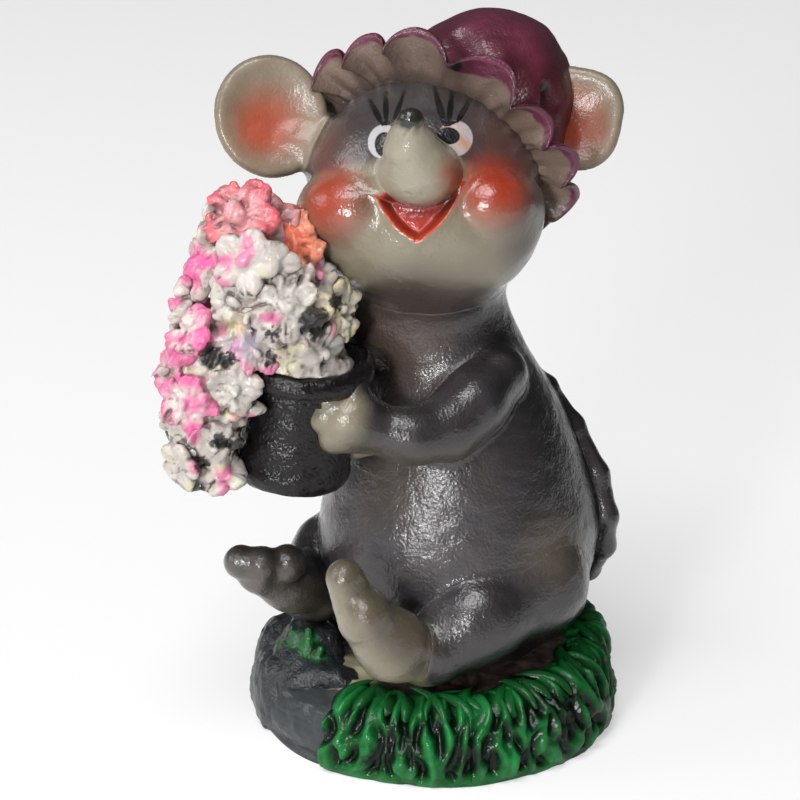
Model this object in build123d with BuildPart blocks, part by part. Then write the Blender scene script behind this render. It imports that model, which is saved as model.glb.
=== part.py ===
from build123d import *
from math import atan2, cos, degrees, radians, sin
import os

# Seated mouse in a frilled bonnet, holding a top hat full of flowers, on a mound of rock and grass.
# Frame: +Z up, origin at the centre of the base's underside, the mouse's body faces -Y, its left is +X.
# Lengths are millimetres. Each piece is cut by the larger pieces that it sits on, so all seat face to face.

os.makedirs("parts", exist_ok=True)

overrun = 60.0

# How many sides the turned forms have
form_side_count = 24
limb_side_count = 16
digit_side_count = 8

# Base mound, a many-sided block as carved in the master
base_radius = 27.4
base_foot_radius = 25.8
base_shoulder_radius = 25.6
base_top_radius = 21.0
base_height = 10.5
base_widest_height = 3.4
base_shoulder_height = 7.6
base_side_count = 30

# Rocks on the mound's front right, as blocks with broken tops
rock_radius = 8.8
rock_height = 12.8
rock_ring_radius = 19.6
rock_side_count = 6
rock_waist_share = 0.92
rock_side_angle = 4
rock_top_angle = 36
rock_waist_height_share = 0.62
rock_angles = (184, 211, 240, 266, 235)
rock_size_shares = (0.86, 1.0, 0.96, 0.84, 0.66)
rock_rise_shares = (0.86, 1.0, 0.96, 0.84, 1.3)
rock_out_shares = (1.0, 1.0, 1.0, 1.0, 0.92)
rock_turn_angles = (10, 34, 5, 22, 14)

# Grass blades, in rows up the mound's side
blade_width = 5.0
blade_length = 8.4
blade_thickness = 1.5
blade_belly_share = 0.42
blade_hook_share = 0.34
blade_row_radii = (26.6, 24.9)
blade_row_heights = (0.6, 4.6)
blade_row_angles = (4, 22)
blade_step_angle = 11
blade_swing_angle = 14
grass_start_angles = (279, 337, 35, 104)
grass_blade_counts = (5, 5, 6, 6)

# Body, turned about a line that leans forward from the seat to the neck
body_radius = 20.5
body_seat = (0, 6.8, 8.5)
body_neck = (0, 2.4, 69.0)
body_station_shares = (0.0, 0.06, 0.124, 0.175, 0.29, 0.39, 0.49, 0.645, 0.775, 0.9, 1.0)
body_radius_shares = (0.6, 0.7, 0.82, 0.9, 1.0, 0.97, 0.9, 0.73, 0.54, 0.41, 0.4)

# Haunches: a thigh from the hip to the raised knee, and a shank from the knee to the ankle
haunch_radius = 9.4
left_hip = (6.5, 16.5, 16.5)
left_knee = (14.8, 5.0, 23.6)
left_ankle = (13.0, -12.8, 17.6)
thigh_station_shares = (-0.19, 0.0, 0.19, 0.38, 0.7, 1.0, 1.2, 1.37, 1.47)
thigh_radius_shares = (0.53, 0.81, 0.96, 1.0, 0.96, 0.85, 0.69, 0.4, 0.17)
shank_station_shares = (0.0, 0.3, 0.6, 0.96, 1.16, 1.26)
shank_radius_shares = (0.79, 0.76, 0.68, 0.54, 0.36, 0.16)

# Feet, from heel to toes
left_foot_radius = 4.6
right_foot_radius = 3.8
foot_station_shares = (0.0, 0.12, 0.36, 0.66, 0.92, 1.0)
foot_radius_shares = (0.6, 0.94, 1.0, 0.88, 0.86, 0.6)
left_heel = (11.4, -14.0, 13.8)
left_toe = (9.5, -25.6, 28.8)
right_heel = (-10.4, -12.6, 19.0)
right_toe = (-11.4, -26.0, 26.8)
toe_radius = 2.2
toe_pitch = 2.6
toe_length = 2.4
toe_taper_angle = 12
toe_start_share = 0.9

# Head, in its own axes: x to the mouse's left, y up, z out of the face
head_centre = (0.0, -2.0, 80.2)
head_turn_angle = 40
head_tilt_angle = 20
skull_radius = 16.4
head_station_shares = (-0.96, -0.86, -0.67, -0.42, -0.14, 0.13, 0.36, 0.6, 0.81, 0.95)
head_radius_shares = (0.26, 0.57, 0.84, 0.975, 1.01, 0.99, 0.93, 0.8, 0.59, 0.32)

# Mouth, as an open smile
mouth_width = 11.6
mouth_drop = 7.4
mouth_height = -0.6
mouth_sag = 1.6
mouth_floor = 13.4

# Snout and nose, from the full end above the mouth to the tip between the eyes
snout_radius = 5.0
snout_root = (-0.3, 1.2, 14.2)
snout_tip = (-1.0, 8.2, 20.0)
snout_station_shares = (-0.42, -0.2, 0.15, 0.55, 1.0)
snout_radius_shares = (0.55, 0.88, 1.0, 0.76, 0.34)
nose_radius = 2.2
nose_length = 3.8
nose_station_shares = (-0.1, 0.32, 0.68, 1.0)
nose_radius_shares = (0.85, 1.0, 0.86, 0.34)

# Ears
ear_thickness = 3.0
right_ear_radius = 8.5
left_ear_radius = 7.4
ear_radius_shares = (0.95, 1.0, 0.8)
ear_dish_shares = (0.82, 0.54)
ear_dish_depth = 1.6
ear_side_count = 20
right_ear_place = (-21.9, 9.6, 1.0)
left_ear_place = (20.6, 11.0, -6.0)
ear_splay_angle = 14

# Bonnet crown and its gathered frill
crown_radius = 17.3
crown_swell = (0.7, 0.8, 0.0)
crown_puff = (8.4, 15.0, -6.4)
crown_station_shares = (-0.94, -0.75, -0.46, -0.16, 0.13, 0.38, 0.63, 0.86, 1.1, 1.33, 1.5, 1.63)
crown_radius_shares = (0.35, 0.66, 0.89, 0.985, 0.99, 0.92, 0.775, 0.69, 0.66, 0.575, 0.43, 0.2)
brim_centre = (0.8, 4.5, -4.0)
bonnet_tilt_angle = 42
bonnet_turn_angle = -18
frill_inner_radius = 14.6
frill_radius = 22.0
frill_flare = 2.2
frill_thickness = 1.4
frill_wave = 1.5
frill_pleat_count = 13
frill_start_angle = -40

# Top hat, held upside down with its crown below
hat_centre = (-6.0, -21.2, 41.2)
hat_lean_angle = 6
hat_height = 19.5
hat_crown_radius = 8.2
hat_waist_radius = 6.6
hat_brim_radius = 10.0
hat_brim_thickness = 1.6
hat_waist_height = 15.4
hat_crown_round = 0.8
hat_wall = 1.2
hat_recess = 4.0
hat_side_bulge = 0.5
band_height = 1.6
band_proud = 0.6

# Foliage that carries the flowers: a mass rising from the hat and one spilling over its brim
bouquet_radius = 8.0
foliage_side_count = 10
bouquet_seat = 15.2
bouquet_height = 24.0
rise_foot = (-6.4, -21.0, 52.0)
rise_top = (-8.6, -27.0, 80.6)
rise_station_shares = (0.0, 0.2, 0.38, 0.6, 0.82, 1.0)
rise_radius_shares = (0.6, 0.66, 0.92, 1.0, 0.8, 0.42)
spill_foot = (-7.6, -24.4, 63.0)
spill_end = (-12.2, -34.0, 48.0)
spill_station_shares = (0.0, 0.35, 0.7, 1.0)
spill_radius_shares = (0.84, 0.94, 0.78, 0.36)

# Flowers: each one's place from the foot of the foliage, the way it faces, its size and its petals
flower_radius = 5.0
petal_thickness = 1.0
petal_along_shares = (0.0, 0.62, 0.92, 1.0)
petal_side_shares = (0.12, 0.34, 0.2, 0.0)
petal_cup_angle = 20
flower_eye_share = 0.24
flower_eye_height = 0.9
flower_eye_side_count = 6
calyx_share = 0.34
calyx_depth = 5.2
flower_place_shares = (
    (-0.1, -0.3, 1.14),
    (0.12, -0.07, 0.93),
    (-0.29, -0.38, 0.81),
    (0.2, -0.26, 0.7),
    (-0.02, -0.4, 0.73),
    (-0.26, -0.55, 0.5),
    (-0.34, -0.63, 0.25),
    (0.16, -0.38, 0.45),
    (0.25, 0.07, 0.59),
    (-0.15, -0.69, 0.15),
    (-0.06, -0.6, -0.12),
    (0.1, -0.52, 0.2),
    (-0.39, -0.16, 0.57),
    (-0.45, -0.43, 0.37),
    (-0.32, -0.06, 0.9),
    (-0.05, 0.07, 0.93),
)
flower_facing_angles = (
    (284, 48), (350, 42), (228, 16), (322, 20), (284, 8), (252, 34), (236, 14), (332, 4),
    (24, 6), (290, 2), (322, -24), (330, -8), (170, 10), (200, 8), (165, 40), (80, 45),
)
flower_size_shares = (0.88, 1.0, 0.8, 1.06, 0.82, 0.76, 0.62, 0.66, 0.74, 0.7, 0.76, 0.62, 0.9, 0.86, 0.8, 0.84)
flower_petal_counts = (5, 6, 5, 8, 5, 5, 5, 6, 5, 5, 5, 5, 6, 5, 5, 5)

# Arms: an upper arm and a forearm that meet at the elbow, and a paw at the forearm's end
upper_arm_radius = 4.4
upper_arm_station_shares = (-0.3, 0.0, 0.6, 0.95, 1.2, 1.36)
upper_arm_radius_shares = (0.7, 1.0, 0.98, 0.96, 0.8, 0.5)
forearm_radius = 4.3
forearm_station_shares = (-0.22, -0.1, 0.12, 0.5, 0.72, 0.88, 1.06, 1.2)
forearm_radius_shares = (0.5, 0.86, 0.97, 0.88, 0.84, 1.04, 1.06, 0.7)
left_shoulder = (10.0, 2.4, 54.4)
left_elbow = (10.6, -7.2, 49.2)
left_paw = (2.2, -19.6, 51.8)
right_shoulder = (-10.0, 2.4, 54.4)
right_elbow = (-13.5, -7.0, 48.5)
right_paw = (-13.8, -20.0, 50.4)
finger_radius = 1.7
finger_pitch = 2.8
finger_length = 2.6
finger_taper_angle = 12
left_finger_facing_angle = 205
right_finger_facing_angle = 330
finger_reach_share = 0.5

# Tail, from the rump up the back
tail_height = 36.0
tail_radius = 1.8
tail_root = (2.0, 22.4, 13.5)
tail_offset_shares = (
    (0, 0, 0),
    (0.15, 0.01, 0.07),
    (0.29, -0.02, 0.18),
    (0.37, -0.03, 0.32),
    (0.36, 0.02, 0.49),
    (0.31, 0.03, 0.65),
    (0.23, -0.04, 0.83),
    (0.14, -0.12, 0.97),
)
tail_tip_share = 0.5


def placed(base, offset_shares, size):
    """Points at shares of a size from a base point."""
    return [Vector(*base) + Vector(*shares) * size for shares in offset_shares]


def raise_bands(start, end, station_shares, radius_shares, length, radius, sides, mode=Mode.ADD):
    """Raise a many-sided form along the line from start towards end; each band narrows away from its wider ring."""
    along = (Vector(*end) - Vector(*start)).normalized()
    across = along.cross(Vector(1, 0, 0))
    rings = [(length * station, radius * width) for station, width in zip(station_shares, radius_shares)]
    for one, other in zip(rings, rings[1:]):
        (from_station, wide), (to_station, narrow) = sorted((one, other), key=lambda ring: ring[1], reverse=True)
        rise = to_station - from_station
        slope = degrees(atan2(wide - narrow, abs(rise)))
        with BuildSketch() as ring:
            RegularPolygon(wide, sides, major_radius=False)
        band = extrude(ring.sketch, amount=abs(rise), taper=slope, mode=Mode.PRIVATE)
        way = along if rise > 0 else -along
        add(Plane(origin=Vector(*start) + along * from_station, x_dir=across, z_dir=way) * band, mode=mode)


def drop_crumbs(builder):
    """Keep only the largest solid of the piece, where a cut has left crumbs."""
    add(builder.solids().sort_by(SortBy.VOLUME)[-1], mode=Mode.REPLACE)


def finish(builder, name):
    """Label a finished piece and write its file."""
    builder.part.label = name
    export_step(builder.part, f"parts/{name}.step")


# The head's own plane, and the bonnet's ring plane that leans back on it
head_facing = Vector(
    sin(radians(head_turn_angle)) * cos(radians(head_tilt_angle)),
    -cos(radians(head_turn_angle)) * cos(radians(head_tilt_angle)),
    sin(radians(head_tilt_angle)),
)
head_left = Vector(cos(radians(head_turn_angle)), sin(radians(head_turn_angle)), 0)
head_plane = Plane(origin=head_centre, x_dir=head_left, z_dir=head_facing)
ring_location = head_plane.location * Location(brim_centre, (bonnet_tilt_angle, bonnet_turn_angle, 0))
ring_plane = Plane(ring_location)
hat_location = Location(hat_centre, (0, -hat_lean_angle, 0))
hat_plane = Plane(hat_location)
mound_top = Plane.XY.offset(base_height)

# Base mound, in three bands that lean out and then in
base_stations = (0, base_widest_height, base_shoulder_height, base_height)
base_widths = (base_foot_radius, base_radius, base_shoulder_radius, base_top_radius)
with BuildPart() as base_mound:
    raise_bands((0, 0, 0), (0, 0, base_height), base_stations, base_widths, 1, 1, base_side_count)
finish(base_mound, "base_mound")

# Head, turned about its own upright axis, with an open smile; the bonnet takes over behind its ring
head_top = head_plane.from_local_coords(Vector(0, skull_radius, 0))
with BuildPart() as head:
    raise_bands(head_centre, head_top, head_station_shares, head_radius_shares, skull_radius, skull_radius, form_side_count)
    split(bisect_by=ring_plane, keep=Keep.TOP)
    with BuildSketch(head_plane.offset(mouth_floor)):
        with BuildLine():
            corner_left = (mouth_width / 2, mouth_height)
            corner_right = (-mouth_width / 2, mouth_height)
            ThreePointArc(corner_right, (0, mouth_height - mouth_sag), corner_left)
            ThreePointArc(corner_left, (0, mouth_height - mouth_drop), corner_right)
        make_face()
    extrude(amount=overrun, mode=Mode.SUBTRACT)
finish(head, "head")

# Snout: a teardrop that narrows from above the mouth up to the nose
snout_from = head_plane.from_local_coords(Vector(*snout_root))
snout_to = head_plane.from_local_coords(Vector(*snout_tip))
snout_reach = (snout_to - snout_from).length
with BuildPart() as snout:
    raise_bands(snout_from, snout_to, snout_station_shares, snout_radius_shares, snout_reach, snout_radius, limb_side_count)
    add(head.part, mode=Mode.SUBTRACT)
    drop_crumbs(snout)
finish(snout, "snout")

with BuildPart() as nose:
    nose_end = snout_to + (snout_to - snout_from)
    raise_bands(snout_to, nose_end, nose_station_shares, nose_radius_shares, nose_length, nose_radius, limb_side_count)
    add(snout.part, mode=Mode.SUBTRACT)
    drop_crumbs(nose)
finish(nose, "nose")

# Body, flat where it sits on the mound and cut by the head at the neck
body_reach = (Vector(*body_neck) - Vector(*body_seat)).length
with BuildPart() as body:
    raise_bands(body_seat, body_neck, body_station_shares, body_radius_shares, body_reach, body_radius, form_side_count)
    split(bisect_by=mound_top, keep=Keep.TOP)
    add(head.part, mode=Mode.SUBTRACT)
    drop_crumbs(body)
finish(body, "body")

# Bonnet crown: it caps the back of the head and swells up into a puff, cut flat at the ring
swell_centre = head_plane.from_local_coords(Vector(*crown_swell))
puff_centre = head_plane.from_local_coords(Vector(*crown_puff))
with BuildPart() as bonnet_crown:
    raise_bands(
        swell_centre, puff_centre, crown_station_shares, crown_radius_shares, crown_radius, crown_radius, form_side_count
    )
    split(bisect_by=ring_plane, keep=Keep.BOTTOM)
    add(body.part, mode=Mode.SUBTRACT)
finish(bonnet_crown, "bonnet_crown")


def pleat_line(fold):
    """The direction of one fold of the frill: out from the ring's centre, up at even folds and down at odd ones."""
    bearing = radians(frill_start_angle + 180 * fold / frill_pleat_count)
    rise = frill_flare + frill_wave * (1 if fold % 2 == 0 else -1)
    out = ring_plane.x_dir * cos(bearing) + ring_plane.y_dir * sin(bearing)
    return out + ring_plane.z_dir * (rise / frill_radius)


# Bonnet frill: a ring of flat pleats that fan out between folds
with BuildPart() as bonnet_frill:
    for fold in range(2 * frill_pleat_count):
        first, second = pleat_line(fold), pleat_line(fold + 1)
        pleat = Plane(origin=ring_plane.origin, x_dir=first, z_dir=first.cross(second))
        corners = [pleat.to_local_coords(pleat.origin + line * reach) for line, reach in (
            (first, frill_inner_radius), (first, frill_radius), (second, frill_radius), (second, frill_inner_radius),
        )]
        with BuildSketch(pleat):
            Polygon(*[(corner.X, corner.Y) for corner in corners], align=None)
        extrude(amount=frill_thickness / 2, both=True)
    add(head.part, mode=Mode.SUBTRACT)
    add(bonnet_crown.part, mode=Mode.SUBTRACT)
    add(body.part, mode=Mode.SUBTRACT)
    drop_crumbs(bonnet_frill)
finish(bonnet_frill, "bonnet_frill")

# Ears: thin dishes that swell from the back to a raised rim
for name, place, ear_radius, splay in (
    ("ear_right", right_ear_place, right_ear_radius, -ear_splay_angle),
    ("ear_left", left_ear_place, left_ear_radius, ear_splay_angle),
):
    ear_location = head_plane.location * Location(place, (0, splay, 0))
    front = ear_location.position
    back = (ear_location * Location((0, 0, -ear_thickness))).position
    with BuildPart() as ear:
        raise_bands(front, back, (0, 0.5, 1), ear_radius_shares, ear_thickness, ear_radius, ear_side_count)
        raise_bands(front, back, (0, 1), ear_dish_shares, ear_dish_depth, ear_radius, ear_side_count, Mode.SUBTRACT)
        for neighbour in (head, bonnet_crown, bonnet_frill):
            add(neighbour.part, mode=Mode.SUBTRACT)
        drop_crumbs(ear)
    finish(ear, name)

# Haunches: folded thighs at the body's sides, flat where they meet the mound
haunches = {}
for side, sign in (("left", 1), ("right", -1)):
    hip = (sign * left_hip[0], left_hip[1], left_hip[2])
    knee = (sign * left_knee[0], left_knee[1], left_knee[2])
    ankle = (sign * left_ankle[0], left_ankle[1], left_ankle[2])
    thigh_reach = (Vector(*knee) - Vector(*hip)).length
    shank_reach = (Vector(*ankle) - Vector(*knee)).length
    with BuildPart() as haunch:
        for start, end, stations, widths, reach in (
            (hip, knee, thigh_station_shares, thigh_radius_shares, thigh_reach),
            (knee, ankle, shank_station_shares, shank_radius_shares, shank_reach),
        ):
            raise_bands(start, end, stations, widths, reach, haunch_radius, form_side_count)
        split(bisect_by=mound_top, keep=Keep.TOP)
        add(body.part, mode=Mode.SUBTRACT)
        drop_crumbs(haunch)
    finish(haunch, f"haunch_{side}")
    haunches[side] = haunch

# Feet: long soles that rise from the heel, each ending in three toes
feet = {}
for side, heel, toe, foot_radius in (
    ("left", left_heel, left_toe, left_foot_radius),
    ("right", right_heel, right_toe, right_foot_radius),
):
    sole = Vector(*toe) - Vector(*heel)
    toe_start = Vector(*heel) + sole * toe_start_share
    with BuildPart() as foot:
        raise_bands(heel, toe, foot_station_shares, foot_radius_shares, sole.length, foot_radius, limb_side_count)
        for step in (-1, 0, 1):
            spot = Location(Plane(origin=toe_start, x_dir=(1, 0, 0), z_dir=sole)) * Location((toe_pitch * step, 0, 0))
            with BuildSketch(Plane(spot)):
                RegularPolygon(toe_radius, digit_side_count)
            extrude(amount=sole.length * (1 - toe_start_share) + toe_length, taper=toe_taper_angle)
        split(bisect_by=mound_top, keep=Keep.TOP)
        add(body.part, mode=Mode.SUBTRACT)
        add(haunches[side].part, mode=Mode.SUBTRACT)
        drop_crumbs(foot)
    finish(foot, f"foot_{side}")
    feet[side] = foot

# Rocks, each a many-sided block that narrows to a broken top
with BuildPart() as rock:
    blocks = zip(rock_angles, rock_size_shares, rock_rise_shares, rock_out_shares, rock_turn_angles)
    for angle, share, rise_share, out_share, turn in blocks:
        out = rock_ring_radius * out_share
        place = Location((out * cos(radians(angle)), out * sin(radians(angle)), 0))
        top = rock_height * rise_share
        waist = top * rock_waist_height_share
        for low, height, lean in ((0, waist, rock_side_angle), (waist, top - waist, rock_top_angle)):
            width = rock_radius * share * (1 if low == 0 else rock_waist_share)
            with BuildSketch(Plane(place * Location((0, 0, low), (0, 0, turn)))):
                RegularPolygon(width, rock_side_count)
            extrude(amount=height, taper=lean)
    for neighbour in (base_mound, body, haunches["right"], feet["right"]):
        add(neighbour.part, mode=Mode.SUBTRACT)
    drop_crumbs(rock)
finish(rock, "rock")

# Top hat, upside down: its crown narrows to a waist, its brim flares at the top, and its mouth is hollow
hat_foot = hat_plane.origin
hat_mouth = hat_foot + hat_plane.z_dir * hat_height
hat_rings = (
    (0, hat_crown_radius - hat_crown_round),
    (hat_crown_round, hat_crown_radius),
    (hat_waist_height / 2, (hat_crown_radius + hat_waist_radius - hat_side_bulge) / 2),
    (hat_waist_height, hat_waist_radius),
    (hat_height - hat_brim_thickness, hat_brim_radius),
    (hat_height, hat_brim_radius),
)
hat_stations, hat_widths = zip(*hat_rings)
hollow_radius = hat_waist_radius - hat_wall
with BuildPart() as hat:
    raise_bands(hat_foot, hat_mouth, hat_stations, hat_widths, 1, 1, form_side_count)
    raise_bands(hat_mouth, hat_foot, (0, 1), (1, 1), hat_recess, hollow_radius, form_side_count, Mode.SUBTRACT)
    add(body.part, mode=Mode.SUBTRACT)
finish(hat, "hat")

band_foot = hat_foot + hat_plane.z_dir * (hat_waist_height - band_height)
band_radius = hat_waist_radius + band_proud
with BuildPart() as hat_band:
    raise_bands(band_foot, hat_mouth, (0, 1), (1, 1), band_height, band_radius, form_side_count)
    raise_bands(band_foot, hat_mouth, (0, 1), (1, 1), band_height, hollow_radius, form_side_count, Mode.SUBTRACT)
    add(hat.part, mode=Mode.SUBTRACT)
    drop_crumbs(hat_band)
finish(hat_band, "hat_band")

# Foliage: one mass rises from the hat and one spills over its brim
rise_reach = (Vector(*rise_top) - Vector(*rise_foot)).length
spill_reach = (Vector(*spill_end) - Vector(*spill_foot)).length
with BuildPart() as foliage:
    for foot, top, stations, widths, reach in (
        (rise_foot, rise_top, rise_station_shares, rise_radius_shares, rise_reach),
        (spill_foot, spill_end, spill_station_shares, spill_radius_shares, spill_reach),
    ):
        raise_bands(foot, top, stations, widths, reach, bouquet_radius, foliage_side_count)
    for neighbour in (hat, hat_band, head, body):
        add(neighbour.part, mode=Mode.SUBTRACT)
    drop_crumbs(foliage)
finish(foliage, "foliage")


def bloom(petal_count):
    """A flower at full size: cupped petals round an eye, on a calyx that sinks into the foliage."""
    edge = [(along, side) for along, side in zip(petal_along_shares, petal_side_shares)]
    mirrored = [(along, -side) for along, side in reversed(edge[:-1])]
    outline = [(flower_radius * along, flower_radius * side) for along, side in edge + mirrored]
    with BuildPart() as petal:
        with BuildSketch():
            Polygon(*outline, align=None)
        extrude(amount=petal_thickness)
    with BuildPart() as flower:
        for index in range(petal_count):
            spoke = Location((0, 0, 0), (0, 0, 360 * index / petal_count))
            with Locations(spoke * Location((0, 0, 0), (0, -petal_cup_angle, 0))):
                add(petal.part)
        with BuildSketch():
            RegularPolygon(flower_radius * flower_eye_share, flower_eye_side_count)
        extrude(amount=petal_thickness + flower_eye_height)
        with BuildSketch():
            RegularPolygon(flower_radius * calyx_share, flower_eye_side_count)
        extrude(amount=-calyx_depth)
    return flower.part


blooms = {count: bloom(count) for count in sorted(set(flower_petal_counts))}
placed_flowers = []
bouquet_foot = hat_foot + hat_plane.z_dir * bouquet_seat
flower_places = placed(bouquet_foot, flower_place_shares, bouquet_height)
flower_rows = zip(flower_places, flower_facing_angles, flower_size_shares, flower_petal_counts)
for number, (place, (azimuth, elevation), size_share, petal_count) in enumerate(flower_rows, start=1):
    with BuildPart() as flower:
        with Locations(Location(place, (0, 0, azimuth)) * Location((0, 0, 0), (0, 90 - elevation, 0))):
            add(scale(blooms[petal_count], by=size_share, mode=Mode.PRIVATE))
        for neighbour in (foliage, hat, hat_band, head, body):
            add(neighbour.part, mode=Mode.SUBTRACT)
        for other_place, other in placed_flowers:
            if (other_place - place).length < 2 * flower_radius:
                add(other.part, mode=Mode.SUBTRACT)
        drop_crumbs(flower)
    finish(flower, f"flower_{number:02d}")
    placed_flowers.append((place, flower))

# Arms, each ending in a paw of three fingers that holds the hat
for side, shoulder, elbow, paw, facing in (
    ("left", left_shoulder, left_elbow, left_paw, left_finger_facing_angle),
    ("right", right_shoulder, right_elbow, right_paw, right_finger_facing_angle),
):
    upper_reach = (Vector(*elbow) - Vector(*shoulder)).length
    fore_reach = (Vector(*paw) - Vector(*elbow)).length
    with BuildPart() as arm:
        for start, end, stations, widths, reach, radius in (
            (shoulder, elbow, upper_arm_station_shares, upper_arm_radius_shares, upper_reach, upper_arm_radius),
            (elbow, paw, forearm_station_shares, forearm_radius_shares, fore_reach, forearm_radius),
        ):
            raise_bands(start, end, stations, widths, reach, radius, limb_side_count)
        for step in (-1, 0, 1):
            grip = Location(paw, (0, 0, facing)) * Location((forearm_radius * finger_reach_share, 0, finger_pitch * step))
            with BuildSketch(Plane(grip * Location((0, 0, 0), (0, 90, 0)))):
                RegularPolygon(finger_radius, digit_side_count)
            extrude(amount=finger_length, taper=finger_taper_angle)
        for neighbour in (body, hat, hat_band, foliage, head):
            add(neighbour.part, mode=Mode.SUBTRACT)
        for other_place, other in placed_flowers:
            if (other_place - Vector(*paw)).length < 3 * flower_radius:
                add(other.part, mode=Mode.SUBTRACT)
        drop_crumbs(arm)
    finish(arm, f"arm_{side}")

# Tail: a cord from the rump up the back, narrowing at its tip
tail_points = placed(tail_root, tail_offset_shares, tail_height)
tail_end, tail_tip = tail_points[-2:]
with BuildPart() as tail:
    with BuildLine():
        Polyline(*tail_points[:-1])
    with BuildSketch(Plane(origin=tail_points[0], x_dir=(1, 0, 0), z_dir=tail_points[1] - tail_points[0])):
        RegularPolygon(tail_radius, digit_side_count)
    sweep(transition=Transition.RIGHT)
    raise_bands(
        tail_end, tail_tip, (0, 1), (1, tail_tip_share), (tail_tip - tail_end).length, tail_radius, digit_side_count
    )
    split(bisect_by=mound_top, keep=Keep.TOP)
    add(body.part, mode=Mode.SUBTRACT)
    drop_crumbs(tail)
finish(tail, "tail")

# Grass, in rows of hooked blades that lean in over the mound's side
with BuildPart() as blade:
    with BuildSketch(Plane.YZ):
        with BuildLine():
            Polyline(
                (0, 0),
                (blade_width / 2, blade_length * blade_belly_share),
                (blade_width * blade_hook_share, blade_length),
                (-blade_width / 2, blade_length * blade_belly_share),
                close=True,
            )
        make_face()
    extrude(amount=blade_thickness / 2, both=True)
for name, start, count in zip(("front", "left", "back", "right"), grass_start_angles, grass_blade_counts):
    with BuildPart() as grass:
        rows = zip(blade_row_radii, blade_row_heights, blade_row_angles)
        for row, (radius, height, lean) in enumerate(rows):
            for index in range(count):
                bearing = start + (index + row / 2) * blade_step_angle
                swing = blade_swing_angle * (1 if (index + row) % 2 else -1)
                spot = Location((radius * cos(radians(bearing)), radius * sin(radians(bearing)), height))
                with Locations(spot * Location((0, 0, 0), (0, 0, bearing)) * Location((0, 0, 0), (swing, -lean, 0))):
                    add(blade.part)
        for neighbour in (base_mound, rock, feet["left"], tail, body):
            add(neighbour.part, mode=Mode.SUBTRACT)
    finish(grass, f"grass_{name}")
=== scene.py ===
from math import cos, radians, sin, tau

import bpy
import numpy as np
from mathutils import Matrix


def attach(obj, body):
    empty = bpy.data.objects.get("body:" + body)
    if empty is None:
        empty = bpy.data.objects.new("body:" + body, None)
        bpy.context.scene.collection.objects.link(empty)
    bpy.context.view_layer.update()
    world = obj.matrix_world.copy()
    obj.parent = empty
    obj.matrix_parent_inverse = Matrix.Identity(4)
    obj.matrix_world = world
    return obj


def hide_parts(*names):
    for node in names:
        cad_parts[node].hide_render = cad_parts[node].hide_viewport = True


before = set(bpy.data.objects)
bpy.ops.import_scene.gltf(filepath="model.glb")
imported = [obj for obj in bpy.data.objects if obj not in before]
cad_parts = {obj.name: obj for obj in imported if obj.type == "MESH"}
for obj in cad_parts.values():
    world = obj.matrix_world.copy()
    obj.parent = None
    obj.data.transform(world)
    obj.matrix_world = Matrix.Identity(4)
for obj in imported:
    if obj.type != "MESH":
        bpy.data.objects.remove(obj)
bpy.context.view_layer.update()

# Shapes are worked out in millimetres in the part's frame and written to the meshes in metres.
MM = 0.001
STEP = 0.36


# Small maths
def vec(*values):
    return np.array(values, dtype=float)


def unit(direction):
    direction = np.asarray(direction, float)
    return direction / np.linalg.norm(direction)


def length(points):
    return np.sqrt(np.einsum("...i,...i->...", points, points))


def smooth(low, high, value):
    """0 below low, 1 above high, and an even ramp between."""
    share = np.clip((value - low) / (high - low), 0, 1)
    return share * share * (3 - 2 * share)


def bump(value, centre, width):
    return np.exp(-((value - centre) / width) ** 2)


def axes_for(normal, hint=(0, 0, 1)):
    """Rows across, up and out for a plane that faces along normal."""
    out = unit(normal)
    across = np.cross(hint, out)
    across = unit(across) if np.linalg.norm(across) > 1e-6 else vec(1, 0, 0)
    return np.array([across, np.cross(out, across), out])


def aim(azimuth, elevation):
    az, el = radians(azimuth), radians(elevation)
    return vec(cos(az) * cos(el), sin(az) * cos(el), sin(el))


def waves(points, size, seed, layers=3):
    """Smooth uneven noise of about -1 to 1, from a few turned sine waves."""
    rng = np.random.default_rng(seed)
    total, weight, gain = 0.0, 0.0, 1.0
    for _ in range(layers):
        for _ in range(4):
            direction = unit(rng.normal(size=3))
            phase = rng.uniform(0, tau)
            twist = unit(rng.normal(size=3))
            along = points @ direction * (tau / size)
            bend = 1.3 * np.sin(points @ twist * (tau / size) * 0.7 + phase * 2)
            total = total + gain * np.sin(along + phase + bend)
            weight += gain
        size, gain = size * 0.5, gain * 0.55
    return total / weight * 1.8


def curve(place, stations, values, count=400):
    """A smooth curve through the values at the stations, read at the given places."""
    at, values = np.asarray(stations, float), np.asarray(values, float)
    steep = np.gradient(values, at)
    fine = np.linspace(at[0], at[-1], count)
    i = np.clip(np.searchsorted(at, fine, "right") - 1, 0, len(at) - 2)
    span = at[i + 1] - at[i]
    t = (fine - at[i]) / span
    table = (2 * t**3 - 3 * t**2 + 1) * values[i] + (t**3 - 2 * t**2 + t) * span * steep[i]
    table += (3 * t**2 - 2 * t**3) * values[i + 1] + (t**3 - t**2) * span * steep[i + 1]
    return np.interp(place, fine, table)


# Distance fields, in mm
def ball(points, centre, radius):
    return length(points - centre) - radius


def egg(points, centre, radii, axes=None):
    local = points - centre
    if axes is not None:
        local = local @ np.asarray(axes).T
    radii = np.asarray(radii, float)
    near = length(local / radii)
    return near * (near - 1) / np.maximum(length(local / radii**2), 1e-9)


def rod(points, start, end, start_radius, end_radius):
    start, end = np.asarray(start, float), np.asarray(end, float)
    run = end - start
    share = np.clip((points - start) @ run / (run @ run), 0, 1)
    radius = start_radius + (end_radius - start_radius) * share
    return length(points - start - share[..., None] * run) - radius


def melt(one, other, reach):
    """Join two fields with a fillet of about the given reach."""
    share = np.clip(0.5 + 0.5 * (other - one) / reach, 0, 1)
    return other * (1 - share) + one * share - reach * share * (1 - share)


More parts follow.
